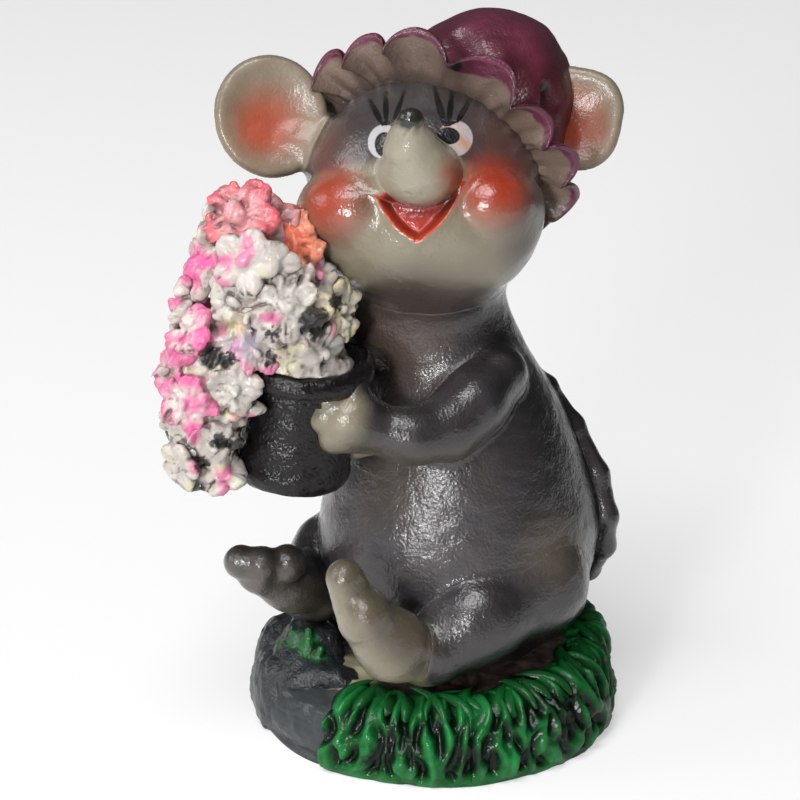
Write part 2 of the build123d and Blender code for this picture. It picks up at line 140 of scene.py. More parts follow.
def both(one, other, reach):
    return -melt(-one, -other, reach)


def chain(points, places, radii, reach=2.0):
    total = None
    for start, end, wide, narrow in zip(places, places[1:], radii, radii[1:]):
        part = rod(points, start, end, wide, narrow)
        total = part if total is None else melt(total, part, reach)
    return total


def lathe(points, start, end, stations, radii):
    """A turned form: radii at stations along the line from start towards end."""
    along = unit(np.asarray(end, float) - start)
    offset = points - start
    height = offset @ along
    radial = length(offset - height[..., None] * along)
    side = radial - curve(height, stations, radii)
    return np.maximum(side, np.maximum(stations[0] - height, height - stations[-1]))


# Surface from a field
def sample(field, points, chunk=400000):
    return np.concatenate([field(points[i:i + chunk]) for i in range(0, len(points), chunk)])


def net(field, low, high, step):
    """The zero surface of a field as quads: one point in each grid cell that it crosses."""
    low, high = np.asarray(low, float), np.asarray(high, float)
    block = 6
    counts = np.maximum(np.ceil((high - low) / (step * block)).astype(int), 1)
    centres = np.stack(np.meshgrid(*[np.arange(n) for n in counts], indexing="ij"), -1).reshape(-1, 3)
    middle = sample(field, low + (centres + 0.5) * block * step)
    reach = 0.5 * block * step * 3**0.5 * 1.6
    shape = counts * block + 1
    value = np.repeat(np.repeat(np.repeat(middle.reshape(counts), block, 0), block, 1), block, 2)
    value = np.pad(value, ((0, 1), (0, 1), (0, 1)), mode="edge").astype(np.float32)
    live = np.zeros(shape, bool)
    for i, j, k in centres[np.abs(middle) < reach] * block:
        live[i:i + block + 1, j:j + block + 1, k:k + block + 1] = True
    places = np.argwhere(live)
    value[live] = sample(field, low + places * step)
    value[0], value[-1] = 1, 1
    value[:, 0], value[:, -1] = 1, 1
    value[:, :, 0], value[:, :, -1] = 1, 1
    inside = value < 0
    corners = [(i, j, k) for i in (0, 1) for j in (0, 1) for k in (0, 1)]
    nx, ny, nz = (n - 1 for n in shape)
    stack = [inside[i:i + nx, j:j + ny, k:k + nz] for i, j, k in corners]
    total = np.sum(stack, axis=0, dtype=np.int8)
    cells = np.argwhere((total > 0) & (total < 8))
    corner_value = np.stack([value[tuple((cells + c).T)] for c in corners], 1).astype(float)
    place, hits = np.zeros((len(cells), 3)), np.zeros(len(cells))
    for a in range(8):
        for b in range(a + 1, 8):
            if sum(x != y for x, y in zip(corners[a], corners[b])) != 1:
                continue
            va, vb = corner_value[:, a], corner_value[:, b]
            cut = (va < 0) != (vb < 0)
            share = np.where(cut, va / np.where(cut, va - vb, 1), 0)
            spot = np.array(corners[a]) + share[:, None] * (np.array(corners[b]) - corners[a])
            place += spot * cut[:, None]
            hits += cut
    points = low + (cells + place / hits[:, None]) * step
    index = np.full((nx, ny, nz), -1, dtype=np.int64)
    index[tuple(cells.T)] = np.arange(len(cells))
    faces = []
    for axis in range(3):
        one = np.take(inside, range(shape[axis] - 1), axis)
        two = np.take(inside, range(1, shape[axis]), axis)
        edges = np.argwhere(one != two)
        u, v = [a for a in range(3) if a != axis]
        keep = (edges[:, u] > 0) & (edges[:, v] > 0)
        keep &= (edges[:, u] < shape[u] - 1) & (edges[:, v] < shape[v] - 1)
        edges = edges[keep]
        quads = []
        for du, dv in ((1, 1), (0, 1), (0, 0), (1, 0)):
            cell = edges.copy()
            cell[:, u] -= du
            cell[:, v] -= dv
            quads.append(index[tuple(cell.T)])
        quads = np.stack(quads, 1)
        flip = one[tuple(edges.T)] != (axis == 1)
        quads[~flip] = quads[~flip][:, ::-1]
        faces.append(quads)
    return points, np.concatenate(faces)


def slope(field, points, reach=0.05):
    parts = []
    for axis in range(3):
        shift = np.zeros(3)
        shift[axis] = reach
        parts.append(sample(field, points + shift) - sample(field, points - shift))
    return np.stack(parts, -1) / (2 * reach)


def settle(field, points, step, rounds=3):
    """Move points onto the field's surface, never far in one go."""
    for _ in range(rounds):
        steep = slope(field, points)
        size = np.maximum(np.einsum("ij,ij->i", steep, steep), 0.05)
        move = -steep * (sample(field, points) / size)[:, None]
        far = np.maximum(length(move) / (0.5 * step), 1)
        points = points + move / far[:, None]
    return points


def relax(points, faces, share=0.5):
    """Even out the points along the surface."""
    total, count = np.zeros_like(points), np.zeros(len(points))
    for a, b in ((0, 1), (1, 2), (2, 3), (3, 0)):
        np.add.at(total, faces[:, a], points[faces[:, b]])
        np.add.at(total, faces[:, b], points[faces[:, a]])
        np.add.at(count, faces[:, a], 1)
        np.add.at(count, faces[:, b], 1)
    return points + share * (total / np.maximum(count, 1)[:, None] - points)


# Colours and pieces
def rgb(red, green, blue):
    """A colour by its screen values of 0 to 255, in linear light."""
    value = np.array([red, green, blue]) / 255
    return np.where(value <= 0.04045, value / 12.92, ((value + 0.055) / 1.055) ** 2.4)


def mix(one, other, share):
    share = np.clip(share, 0, 1)[..., None]
    return one * (1 - share) + np.asarray(other) * share


def added(name, data):
    """A new object in the scene."""
    made = bpy.data.objects.new(name, data)
    bpy.context.scene.collection.objects.link(made)
    return made


def piece(name, points, faces, material, colour):
    """A visible piece that rides on the body and takes the place of the node of its name."""
    mesh = bpy.data.meshes.new(f"{name}_cast")
    mesh.from_pydata((points * MM).tolist(), [], faces if isinstance(faces, list) else faces.tolist())
    mesh.update()
    mesh.validate()
    mesh.polygons.foreach_set("use_smooth", np.ones(len(mesh.polygons), dtype=bool))
    layer = mesh.color_attributes.new("tint", "FLOAT_COLOR", "POINT")
    values = np.ones((len(mesh.vertices), 4), dtype=np.float32)
    values[:, :3] = np.clip(colour, 0, 1)
    layer.data.foreach_set("color", values.ravel())
    made = added(f"{name}_cast", mesh)
    mesh.materials.append(material)
    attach(made, "root")
    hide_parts(name)


def ring_quads(rounds, columns, spans):
    """Quads of a grid that closes on itself around, with the given spans across."""
    i, j = np.meshgrid(np.arange(rounds), np.arange(spans), indexing="ij")
    nxt, over = (i + 1) % rounds, (j + 1) % columns
    corners = [i * columns + j, nxt * columns + j, nxt * columns + over, i * columns + over]
    return np.stack(corners, -1).reshape(-1, 4)


def openness(field, points, normals, depth):
    """1 where the space over the skin is open, and less toward 0 down in a fold."""
    return np.clip(sample(field, points + normals * depth) / depth, 0, 1)


def sculpt(field, low, high, step=STEP):
    """The mesh of a field's surface inside a box, with its points evened out."""
    points, faces = net(field, low, high, step)
    points = settle(field, points, step)
    points = relax(points, faces)
    points = settle(field, points, step, 2)
    return points, faces


def refine(points, faces, chosen, field, step):
    """Split the chosen quads in four, close the seam round them, and settle the new points."""
    faces = [list(face) for face in faces]
    middle, extra, out = {}, [], []
    count = len(points)

    def half(a, b):
        nonlocal count
        key = (a, b) if a < b else (b, a)
        if key not in middle:
            middle[key] = count
            extra.append((points[a] + points[b]) / 2)
            count += 1
        return middle[key]

    for number in np.flatnonzero(chosen):
        face = faces[number]
        if len(face) != 4:
            out.append(face)
            continue
        edges = [half(a, b) for a, b in zip(face, face[1:] + face[:1])]
        extra.append(points[face].mean(0))
        hub = count
        count += 1
        for i in range(4):
            out.append([face[i], edges[i], hub, edges[i - 1]])
    for number in np.flatnonzero(~chosen):
        face, round_ = faces[number], []
        for a, b in zip(face, face[1:] + face[:1]):
            round_.append(a)
            key = (a, b) if a < b else (b, a)
            if key in middle:
                round_.append(middle[key])
        out.append(round_)
    fresh = settle(field, np.array(extra), step, 2)
    return np.concatenate([points, fresh]), out


# The animal's forms
HEAD = vec(0, -2, 80.2)
turn, tilt = radians(40), radians(20)
RIGHT = vec(cos(turn), sin(turn), 0)
FRONT = vec(sin(turn) * cos(tilt), -cos(turn) * cos(tilt), sin(tilt))
ABOVE = np.cross(FRONT, RIGHT)
FACE = np.array([RIGHT, ABOVE, FRONT])


def to_face(points):
    """Places seen from the face: right in the picture, up, and out of the face."""
    return (points - HEAD) @ FACE.T


def from_face(*place):
    return HEAD + np.asarray(place, float) @ FACE


def body_form(points):
    form = lathe(points, (0, 6.8, 8), (0, 2.4, 69), (0, 4, 8, 11, 18, 30, 39.6, 47.4, 55.1, 61),
                 (12.0, 14.4, 16.8, 18.5, 20.5, 18.5, 15.0, 11.0, 8.4, 8.3))
    form = melt(form, egg(points, (0, 1.6, 28), (15.5, 17.2, 15)), 3)
    form = melt(form, ball(points, (-4.2, -1.6, 61.6), 8.8), 4)
    form = melt(form, ball(points, (-7.6, -4.0, 62.4), 7.0), 3)
    return melt(form, rod(points, (-2.0, -15.6, 44.4), (3.0, -11.0, 46.6), 1.5, 1.9), 1.2)


def skull_form(local):
    form = egg(local, (0, 0.3, -0.5), (16.6, 15.6, 15.2))
    jaw = melt(egg(local, (0.6, -6.0, 2.2), (15.2, 10.2, 12.6)),
               ball(local, (-11.4, -3.9, 5.4), 6.0), 3)
    form = melt(form, melt(jaw, ball(local, (11.0, -2.6, 5.2), 6.0), 3), 0.9)
    cheeks = melt(egg(local, (-8.8, -3.6, 8.6), (7.4, 5.6, 5.8)),
                  egg(local, (9.7, -2.6, 8.4), (6.2, 5.4, 6.2)), 1)
    return melt(form, cheeks, 1.0)


def mouth_mask(local):
    """How far outside the open mouth a place is, seen from the front; negative inside."""
    right, up = local[..., 0], local[..., 1]
    corner_left, low, corner_right = vec(-5.1, -2.2), vec(0.3, -7.9), vec(5.8, -0.2)

    def beyond(one, other, sag):
        run = unit(other - one)
        away = (right - one[0]) * run[1] - (up - one[1]) * run[0]
        along = ((right - one[0]) * run[0] + (up - one[1]) * run[1]) / np.linalg.norm(other - one)
        return away - sag * np.sin(np.clip(along, 0, 1) * np.pi)

    sides = both(beyond(corner_left, low, 0.7), beyond(low, corner_right, 0.9), 0.5)
    notch = 0.5 - length(local[..., :2] - (-0.5, -8.0))
    return both(both(sides, beyond(corner_right, corner_left, 0.5), 0.4), notch, 0.3)


def head_form(points):
    local = to_face(points)
    form = skull_form(local)
    edge = mouth_mask(local)
    front = smooth(4, 8, local[..., 2])
    hollow = 1.1 * smooth(0.3, -1.2, edge) * front
    lip = 0.22 * bump(edge, 0.4, 0.6) * front
    return form + hollow - lip


def snout_form(points):
    local = to_face(points)
    pear = chain(local, [(0.2, 2.0, 14.4), (-0.8, 4.4, 16.4), (-0.9, 7.1, 19.1)], [4.6, 3.3, 1.9], 2.0)
    pear = melt(pear, egg(local, (0.35, 1.2, 12.8), (5.7, 4.2, 5.4)), 1.6)
    nostrils = melt(ball(local, (-1.0, -2.1, 17.4), 0.45), ball(local, (0.9, -2.2, 17.4), 0.45), 0.3)
    return both(pear, -nostrils, 0.4)


def nose_form(points):
    local = to_face(points)
    return egg(local, (-0.7, 7.9, 20.0), (1.75, 1.55, 1.6))


def ear_form(points, centre, normal, spin, wide, tall, squareness=2.0):
    """A soft dish with a thin raised rim; a squareness above 2 fills out its corners."""
    axes = axes_for(normal)
    local = (points - centre) @ axes.T
    c, s = cos(radians(spin)), sin(radians(spin))
    x, y, z = local[..., 0] * c + local[..., 1] * s, local[..., 1] * c - local[..., 0] * s, local[..., 2]
    round_ = (np.abs(x / wide) ** squareness + np.abs(y / tall) ** squareness) ** (1 / squareness)
    edge = (round_ - 1) * wide
    shell = np.abs(z + 0.2 - 1.5 * round_**2) - 1.25
    return both(shell, edge, 1.9) - 0.1


EAR_RIGHT_CENTRE = from_face(-21.9, 9.6, 1.0)
EAR_RIGHT_FACING = unit(FRONT + RIGHT * 0.22)
EAR_LEFT_CENTRE = from_face(20.3, 11.0, -6.0)
EAR_LEFT_FACING = unit(FRONT - RIGHT * 0.05)
EARS = (("ear_right", EAR_RIGHT_CENTRE, EAR_RIGHT_FACING), ("ear_left", EAR_LEFT_CENTRE, EAR_LEFT_FACING))


def ear_right_form(points):
    form = ear_form(points, EAR_RIGHT_CENTRE, EAR_RIGHT_FACING, 12, 7.9, 8.6)
    root = rod(points, from_face(-14.5, 5.0, -1.0), from_face(-18.6, 6.4, -0.4), 3.8, 2.6)
    return melt(form, root, 1.6)


def ear_left_form(points):
    form = ear_form(points, EAR_LEFT_CENTRE, EAR_LEFT_FACING, -8, 6.9, 7.2, 2.6)
    root = rod(points, from_face(13.5, 6.0, -4.5), from_face(18.0, 8.5, -5.5), 3.6, 2.4)
    return melt(form, root, 1.6)


def haunch_left_form(points):
    return chain(points, [(8.5, 11, 19), (14.8, 5, 23.6), (14.6, -6, 21.0), (13.0, -12.8, 17.6)],
                 [9.3, 7.8, 6.4, 5.0], 3)


def haunch_right_form(points):
    return chain(points, [(-8.5, 11, 19), (-14.8, 5, 23.6), (-14.4, -6, 21.2), (-12.4, -12.8, 18.8)],
                 [9.3, 7.8, 6.4, 5.0], 3)


def foot_left_form(points):
    sole = chain(points, [(11.2, -13.4, 15.2), (11.0, -19.5, 19.8), (10.4, -24.0, 25.0)], [3.6, 4.6, 4.0], 3)
    sole = melt(sole, rod(points, (8.7, -26.4, 31.4), (9.0, -25.0, 28.0), 2.7, 3.1), 1.6)
    return melt(sole, ball(points, (11.7, -25.3, 26.4), 2.8), 1.6)


def foot_right_form(points):
    sole = chain(points, [(-10.4, -13.0, 19.4), (-10.8, -18.4, 22.2), (-11.2, -24.4, 25.6)],
                 [3.8, 3.8, 3.2], 3)
    toes = (((-12.1, -27.0, 27.7), 2.5), ((-9.6, -25.2, 27.5), 2.7), ((-7.9, -21.8, 27.2), 2.8))
    for place, radius in toes:
        sole = melt(sole, ball(points, place, radius), 1.1)
    return sole


def paw_form(points, palm, radius, knuckles, tips, finger):
    form = ball(points, palm, radius)
    for one, two in zip(knuckles, tips):
        end = np.asarray(one, float) + 0.55 * (np.asarray(two, float) - np.asarray(one, float))
        form = melt(form, rod(points, one, end, finger * 1.4, finger * 1.3), 0.8)
    return form


def arm_left_form(points):
    arm = chain(points, [(10.0, 2.4, 54.4), (10.9, -3.2, 51.6), (10.2, -8.0, 49.0), (8.6, -13.1, 48.8),
                         (5.6, -16.8, 50.0)], [4.4, 4.2, 4.1, 3.7, 3.5], 2.5)
    paw = paw_form(points, (2.6, -19.4, 51.4), 4.8,
                   [(2.2, -21.0, 54.0), (1.8, -21.6, 51.8), (2.8, -21.0, 49.6), (3.6, -19.0, 54.2)],
                   [(0.8, -23.4, 55.0), (0.4, -23.8, 52.0), (1.4, -22.8, 48.6), (3.8, -19.8, 56.4)], 1.7)
    return melt(arm, paw, 2.0)


def arm_right_form(points):
    arm = chain(points, [(-10.0, 2.4, 54.4), (-13.0, -3.0, 50.6), (-13.6, -8, 48.4), (-13.8, -14, 48.4),
                         (-13.8, -18.6, 49.6)], [4.4, 4.2, 4.1, 3.8, 3.6], 2.5)
    paw = paw_form(points, (-13.6, -20.6, 50.4), 4.2,
                   [(-13.0, -22.2, 53.2), (-13.0, -23.2, 50.4), (-12.6, -22.4, 47.6)],
                   [(-10.8, -24.8, 53.4), (-10.4, -25.6, 50.2), (-10.4, -24.6, 47.2)], 1.5)
    return melt(arm, paw, 2.0)


def tail_form(points):
    return chain(points, [(2, 24.5, 14), (8.6, 24.6, 17.6), (14.2, 21.6, 23.6), (15.4, 20.6, 29),
                          (13.4, 20.8, 35), (9.8, 19.2, 42), (6.6, 16.6, 48.0), (5.2, 14.8, 50.4)],
                 [2.0, 2.0, 1.8, 1.8, 1.7, 1.7, 1.6, 1.2], 1.2)


# Each part's form, how far it melts into the parts above it in the table, and the box that it lies in
PARTS = {
    "body": (body_form, 0, (-24, -20, 6), (24, 30, 72)),
    "head": (head_form, 5.0, (-22, -24, 58), (22, 20, 100)),
    "snout": (snout_form, 0.9, (0, -26, 72), (20, -6, 98)),
    "nose": (nose_form, 0.5, (4, -24, 88), (18, -12, 102)),
    "ear_right": (ear_right_form, 1.4, (-30, -28, 74), (-4, 0, 102)),
    "ear_left": (ear_left_form, 1.4, (4, 4, 72), (30, 32, 102)),
    "haunch_left": (haunch_left_form, 1.1, (-4, -22, 4), (28, 26, 36)),
    "haunch_right": (haunch_right_form, 1.1, (-28, -22, 4), (4, 26, 36)),
    "foot_left": (foot_left_form, 1.3, (0, -34, 4), (22, -2, 38)),
    "foot_right": (foot_right_form, 1.3, (-22, -34, 4), (0, -2, 38)),
    "arm_left": (arm_left_form, 1.7, (-6, -32, 38), (24, 16, 64)),
    "arm_right": (arm_right_form, 1.7, (-26, -32, 38), (-2, 16, 64)),
    "tail": (tail_form, 0.8, (-4, 10, 8), (22, 30, 56)),
}


def animal(points):
    """Every part's own field, and the one skin over them all."""
    fields = {name: form(points) for name, (form, *_) in PARTS.items()}
    whole = fields["body"]
    for name, (_, reach, _, _) in PARTS.items():
        if reach:
            whole = melt(whole, fields[name], reach)
    return fields, whole + 0.05 * waves(points, 6.0, 11, 2)


def skin(points):
    return animal(points)[1]


def part_field(name):
    """The part's share of the skin, closed where a neighbour takes over."""
    def field(points):
        fields, whole = animal(points)
        own = fields.pop(name)
        others = np.min(list(fields.values()), axis=0)
        over = own - others
        return np.maximum(whole + np.maximum(over, 0) * 0.8, over - 0.5)
    return field


GREY, WARM_GREY, DEEP = rgb(84, 81, 86), rgb(92, 79, 74), rgb(38, 33, 31)
CREAM, CREAM_SHADE = rgb(184, 173, 148), rgb(136, 122, 100)
BLUSH, RED, DEEP_RED = rgb(214, 70, 34), rgb(224, 44, 12), rgb(140, 24, 14)
BLACK, EYE_WHITE, EYE_PEACH = rgb(5, 5, 5), rgb(240, 236, 240), rgb(246, 184, 150)


def stroke(local, base, tip, width):
    """Distance to a painted lash that swells near its base and ends in a point."""
    base, tip = np.asarray(base, float), np.asarray(tip, float)
    run = tip - base
    place = local[..., :2] - base
    share = np.clip(place @ run / (run @ run), 0, 1)
    half = width * np.interp(share, (0, 0.12, 0.32, 0.7, 1), (0.35, 0.8, 1, 0.5, 0.06))
    return length(place - share[..., None] * run) - half


# Lashes by base, tip and width, and eyes by centre, radii, pupil, the pupil's radii and its lean
LASHES = [((-5.1, 7.8), (-8.3, 13.2), 0.42), ((-4.6, 8.0), (-5.5, 15.0), 0.42),
          ((-3.6, 7.8), (-2.4, 13.8), 0.42), ((3.4, 7.9), (0.9, 15.1), 0.5),
          ((3.85, 8.3), (4.0, 14.5), 0.44), ((5.0, 8.5), (7.1, 13.5), 0.44),
          ((-5.2, 8.0), (-3.4, 8.1), 0.34), ((3.3, 8.0), (5.2, 8.6), 0.4)]
EYES = [((-4.9, 5.5), (2.1, 2.35), (-4.6, 5.0), (1.4, 1.8), 0.25),
        ((4.85, 6.15), (2.3, 2.5), (3.95, 6.45), (1.5, 1.2), -0.1)]


def ring_of(local, centre, radii, lean=0.0):
    """Distance outside an oval that is painted on the face."""
    x, y = local[..., 0] - centre[0], local[..., 1] - centre[1]
    x, y = x * cos(lean) + y * sin(lean), y * cos(lean) - x * sin(lean)
    near = np.sqrt((x / radii[0]) ** 2 + (y / radii[1]) ** 2)
    return (near - 1) * min(radii)


def daub(points, centre, outer, inner, stretch=(1, 1, 1)):
    """1 within the inner radius of a centre, 0 beyond the outer, and an even ramp between."""
    return smooth(outer, inner, length((points - vec(*centre)) * vec(*stretch)))


def coat_colour(points, normals):
    """The hand-sprayed coat of the animal, worked out at each place on its skin."""
    near, _ = animal(points)
    local = to_face(points)
    right, up, out = local[..., 0], local[..., 1], local[..., 2]
    fold, fold_wide = (openness(skin, points, normals, depth) for depth in (1.6, 4.5))
    speck = waves(points, 9, 5, 3)
    colour = mix(GREY, WARM_GREY, 0.35 + 0.3 * speck)
    is_head = (near["head"] < near["body"] + 0.2) & (points[..., 2] > 64)

    # the limbs are darker, and the sides and back that face away from the lamps get painted shade
    outer = ("arm_left", "arm_right", "haunch_left", "haunch_right", "tail")
    limbs = np.min([near[name] for name in outer], axis=0)
    away = smooth(0.9, -0.15, normals @ unit(vec(0.1, -1, 0.1))) * ~is_head
    colour = mix(colour, rgb(30, 29, 32), np.maximum(smooth(0.9, -0.2, limbs) * 0.5, away))

    # the muzzle and cheeks show the pale cast under a thin spray
    cheek_line = 3.2 - 0.010 * right**2
    muzzle = smooth(0.9, -1.3, up - cheek_line) * smooth(-5.5, 2.5, out) * smooth(-18.0, -11.5, up)
    colour = mix(colour, CREAM, muzzle * is_head * 0.95)
    chin = np.maximum(smooth(-8.6, -14.5, up + 0.25 * np.abs(right)), smooth(9.5, 15.0, right)) * is_head
    colour = mix(colour, WARM_GREY, chin * 0.8)
    for centre, radius in (((-11.1, -3.0, 9.5), 6.0), ((10.0, -0.9, 10.5), 5.8)):
        far = length((local - centre) / vec(0.95, 0.95, 1.3))
        colour = mix(colour, BLUSH, smooth(radius + 1.4, radius * 0.45, far) * is_head)
    halo = daub(local, (-12.5, -0.5, 6), 11, 5) + daub(local, (11.5, 2.5, 6), 11, 5)
    colour = mix(colour, rgb(150, 88, 74), 0.38 * halo * smooth(0.5, 3.5, up) * is_head)
    brown = daub(local, (-7.2, -2.4, 12.5), 4.0, 0.8, (1.3, 0.8, 1))
    colour = mix(colour, rgb(128, 78, 46), 0.85 * brown * is_head)

    # snout, with its orange shade on the right and the sprayed nose
    snout = smooth(0.7, -0.3, near["snout"] - near["head"]) * (out > 8)
    colour = mix(colour, rgb(205, 196, 172), snout)
    colour = mix(colour, rgb(186, 84, 48), snout * smooth(1.8, 5.2, right) * smooth(5.5, 0.5, up) * 0.95)
    nose = length(local - (-0.7, 8.3, 20.4))
    nose_spray = smooth(2.6 + 0.6 * waves(points, 1.4, 15, 2), 1.6, nose) * (out > 14)
    colour = mix(colour, rgb(18, 20, 17), nose_spray * 0.96)

    # open mouth
    edge = mouth_mask(local)
    in_front = (out > 6) & is_head & (near["snout"] > 0.12)
    mouth = smooth(0.55, 0.25, edge) * in_front
    colour = mix(colour, rgb(232, 70, 24), mouth)
    colour = mix(colour, RED, mouth * smooth(-0.5, -1.2, edge))
    colour = mix(colour, DEEP_RED, 0.6 * mouth * bump(edge, -0.5, 0.35))
    colour = mix(colour, DEEP_RED, 0.5 * mouth * smooth(1.6, 0.2, near["snout"]))

    # eyes and lashes, painted on the skull only
    painted = (near["snout"] > 0.25) & (out > 7) & is_head
    for (centre, radii, pupil, pupil_radii, lean), white in zip(EYES, (EYE_WHITE, EYE_PEACH)):
        white_now = mix(white, EYE_WHITE, 0.5 + 0.5 * waves(points, 3, 8, 1))
        colour = mix(colour, white_now, smooth(0.09, -0.05, ring_of(local, centre, radii)) * painted)
        colour = mix(colour, BLACK, smooth(0.07, -0.05, ring_of(local, pupil, pupil_radii, lean)) * painted)
    for base, tip, width in LASHES:
        colour = mix(colour, BLACK, smooth(0.07, -0.05, stroke(local, base, tip, width)) * painted)

    # pale hands, feet, knees and arm undersides
    arms = np.minimum(near["arm_left"], near["arm_right"]) < 0.4
    grips = np.minimum(ball(points, (2.0, -21.2, 52.2), 4.9), ball(points, (-12.6, -22.6, 50.4), 4.8))
    hands = smooth(1.2, -1.0, grips)
    colour = mix(colour, CREAM, hands * arms * 0.92)
    under = smooth(0.15, -0.75, normals[..., 2]) * arms
    colour = mix(colour, CREAM_SHADE, under * 0.35)
    feet = np.minimum(near["foot_left"], near["foot_right"])
    thighs = np.minimum(near["haunch_left"], near["haunch_right"])
    foot_share = smooth(0.8, -0.2, feet) * (feet < thighs + 0.8)
    colour = mix(colour, CREAM_SHADE, foot_share * np.where(points[..., 0] > 0, 0.8, 0.2))
    soles = smooth(0.1, -0.75, normals @ unit(vec(0.2, 0.5, 0.8))) * np.where(points[..., 0] > 0, 0.9, 0.1)
    colour = mix(colour, CREAM, foot_share * soles)
    knees = daub(points, (17.5, 4, 29), 9, 3) + daub(points, (-17.5, 4, 29), 9, 3)
    colour = mix(colour, rgb(140, 128, 112), knees * 0.45)
    web = smooth(1.0, 0.0, rod(points, (-2.0, -15.6, 44.4), (2.0, -12.0, 46.4), 1.7, 2.0))
    colour = mix(colour, CREAM, web * 0.9)
    belly = daub(points, (3, -14, 44), 10, 2, (1, 1, 0.8))
    colour = mix(colour, CREAM_SHADE, belly * 0.35)
    shade = daub(points, (-7, -9, 58), 11, 4, (1, 1, 0.8))
    colour = mix(colour, rgb(48, 37, 31), shade * 0.9)
    neck = daub(points, (2, -8, 60), 10, 3)
    colour = mix(colour, rgb(136, 112, 100), neck * 0.5)

    # ears: cream rim, orange hollow
    for name, centre, facing in EARS:
        place = (points - centre) @ axes_for(facing).T
        ear = smooth(0.5, -0.3, near[name] - np.minimum(near["head"], near["body"]))
        colour = mix(colour, rgb(190, 172, 148), ear * 0.92)
        inner = smooth(7.4, 2.0, length(place[..., :2] - (-0.6, -1.0))) * (place[..., 2] > -1.2)
        colour = mix(colour, rgb(212, 116, 84), ear * inner * 0.9)
        # painted shade: the ear on the shaded side gets a darker orange hollow
        colour = mix(colour, rgb(176, 84, 58), ear * inner * (points[..., 0] > 0) * 0.8)
        core = smooth(4.4, 1.0, length(place[..., :2] - (-1.4, -1.6))) * (place[..., 2] > -1.2)
        colour = mix(colour, rgb(226, 98, 66), ear * core * 0.7)

    # the folds darken: partly paint that gathers there, partly painted shade; the wider hollows get painted
    # shade as well
    colour = mix(colour, colour * 0.42 + DEEP * 0.12, smooth(0.72, 0.18, fold) * 0.85)
    colour = mix(colour, colour * 0.7, smooth(0.75, 0.35, fold_wide) * 0.5)
    return colour


# Materials
def node(tree, kind, **inputs):
    """A new shader node; an underscore in an input's name stands for a space."""
    made = tree.nodes.new(f"ShaderNode{kind}")
    for name, value in inputs.items():
        made.inputs[name.replace("_", " ")].default_value = value
    return made


def wire(source, output, target, *entries):
    """Link one output to each of the named or numbered inputs."""
    for entry in entries:
        source.id_data.links.new(source.outputs[output], target.inputs[entry])


def lacquer(name, rough=0.4, coat=1.0, coat_rough=0.1, grain=0.5, size=2600, tone=0.12, soft=0.0, shine=0.3,
            depth=0.42):
    """Hand-painted resin under a clear gloss coat: brushed tone, pin-point unevenness and a wavy gloss."""
    material = bpy.data.materials.new(name)
    material.use_nodes = True
    tree = material.node_tree
    shader = tree.nodes["Principled BSDF"]
    tint = node(tree, "VertexColor")
    tint.layer_name = "tint"
    place = node(tree, "TexCoord")
    cloud = node(tree, "TexNoise", Scale=size * 0.09, Detail=5)
    fine = node(tree, "TexNoise", Scale=size, Detail=3)
    wide = node(tree, "TexNoise", Scale=size * 0.18, Detail=2)
    for noise in (cloud, fine, wide):
        wire(place, "Object", noise, "Vector")
    darkest, palest = depth * (1 - tone), depth * (1 + tone)
    span = node(tree, "MapRange", From_Min=0.3, From_Max=0.7, To_Min=darkest, To_Max=palest)
    wire(cloud, "Fac", span, "Value")
    scale = node(tree, "VectorMath")
    scale.operation = "SCALE"
    wire(tint, "Color", scale, 0)
    wire(span, "Result", scale, "Scale")
    wire(scale, "Vector", shader, "Base Color")
    heights = node(tree, "Math")
    heights.operation = "MULTIPLY_ADD"
    heights.inputs[1].default_value = 2.2
    wire(wide, "Fac", heights, 0)
    wire(fine, "Fac", heights, 2)
    relief = node(tree, "Bump", Strength=grain, Distance=0.0002)
    wire(heights, "Value", relief, "Height")
    wire(relief, "Normal", shader, "Normal", "Coat Normal")
    mottle = node(tree, "MapRange", To_Min=rough - 0.08, To_Max=rough + 0.12)
    wire(cloud, "Fac", mottle, "Value")
    wire(mottle, "Result", shader, "Roughness")
    settings = {"Specular IOR Level": shine, "Coat Weight": coat, "Coat Roughness": coat_rough,
                "Coat IOR": 1.42}
    if soft:
        settings.update({"Subsurface Weight": soft, "Subsurface Radius": (1.0, 0.6, 0.4),
                         "Subsurface Scale": 0.0012})
    for entry, value in settings.items():
        shader.inputs[entry].default_value = value
    return material


coat_paint = lacquer("coat_paint", soft=0.05, depth=0.44)
ear_paint = lacquer("ear_paint", soft=0.1, grain=0.25, coat=0.5, coat_rough=0.2)
face_paint = lacquer("face_paint", soft=0.06, tone=0.07, grain=0.35)
bonnet_paint = lacquer("bonnet_paint", rough=0.46, coat_rough=0.18, tone=0.16, coat=0.7)
hat_paint = lacquer("hat_paint", rough=0.5, grain=0.8, size=2200, coat_rough=0.07, tone=0.25, coat=0.7,
                    shine=0.1)
petal_paint = lacquer("petal_paint", depth=0.7, rough=0.45, grain=0.35, coat_rough=0.16, tone=0.08,
                      soft=0.12, coat=0.7)
grass_paint = lacquer("grass_paint", rough=0.5, tone=0.22, grain=0.3, coat_rough=0.07, coat=0.4,
                      depth=0.7, shine=0.1)
rock_paint = lacquer("rock_paint", rough=0.45, tone=0.3, grain=1.0, coat_rough=0.18, coat=0.6)

PAINTS = {
    "head": (face_paint, "grey_paint"), "snout": (face_paint, "cream_paint"),
    "nose": (face_paint, "nose_paint"),
    "ear_left": (ear_paint, "ear_paint"), "ear_right": (ear_paint, "ear_paint"),
    "foot_left": (coat_paint, "cream_paint"), "foot_right": (coat_paint, "cream_paint"),
}


def normals_of(field, points):
    steep = slope(field, points)
    return steep / np.maximum(length(steep), 1e-6)[:, None]


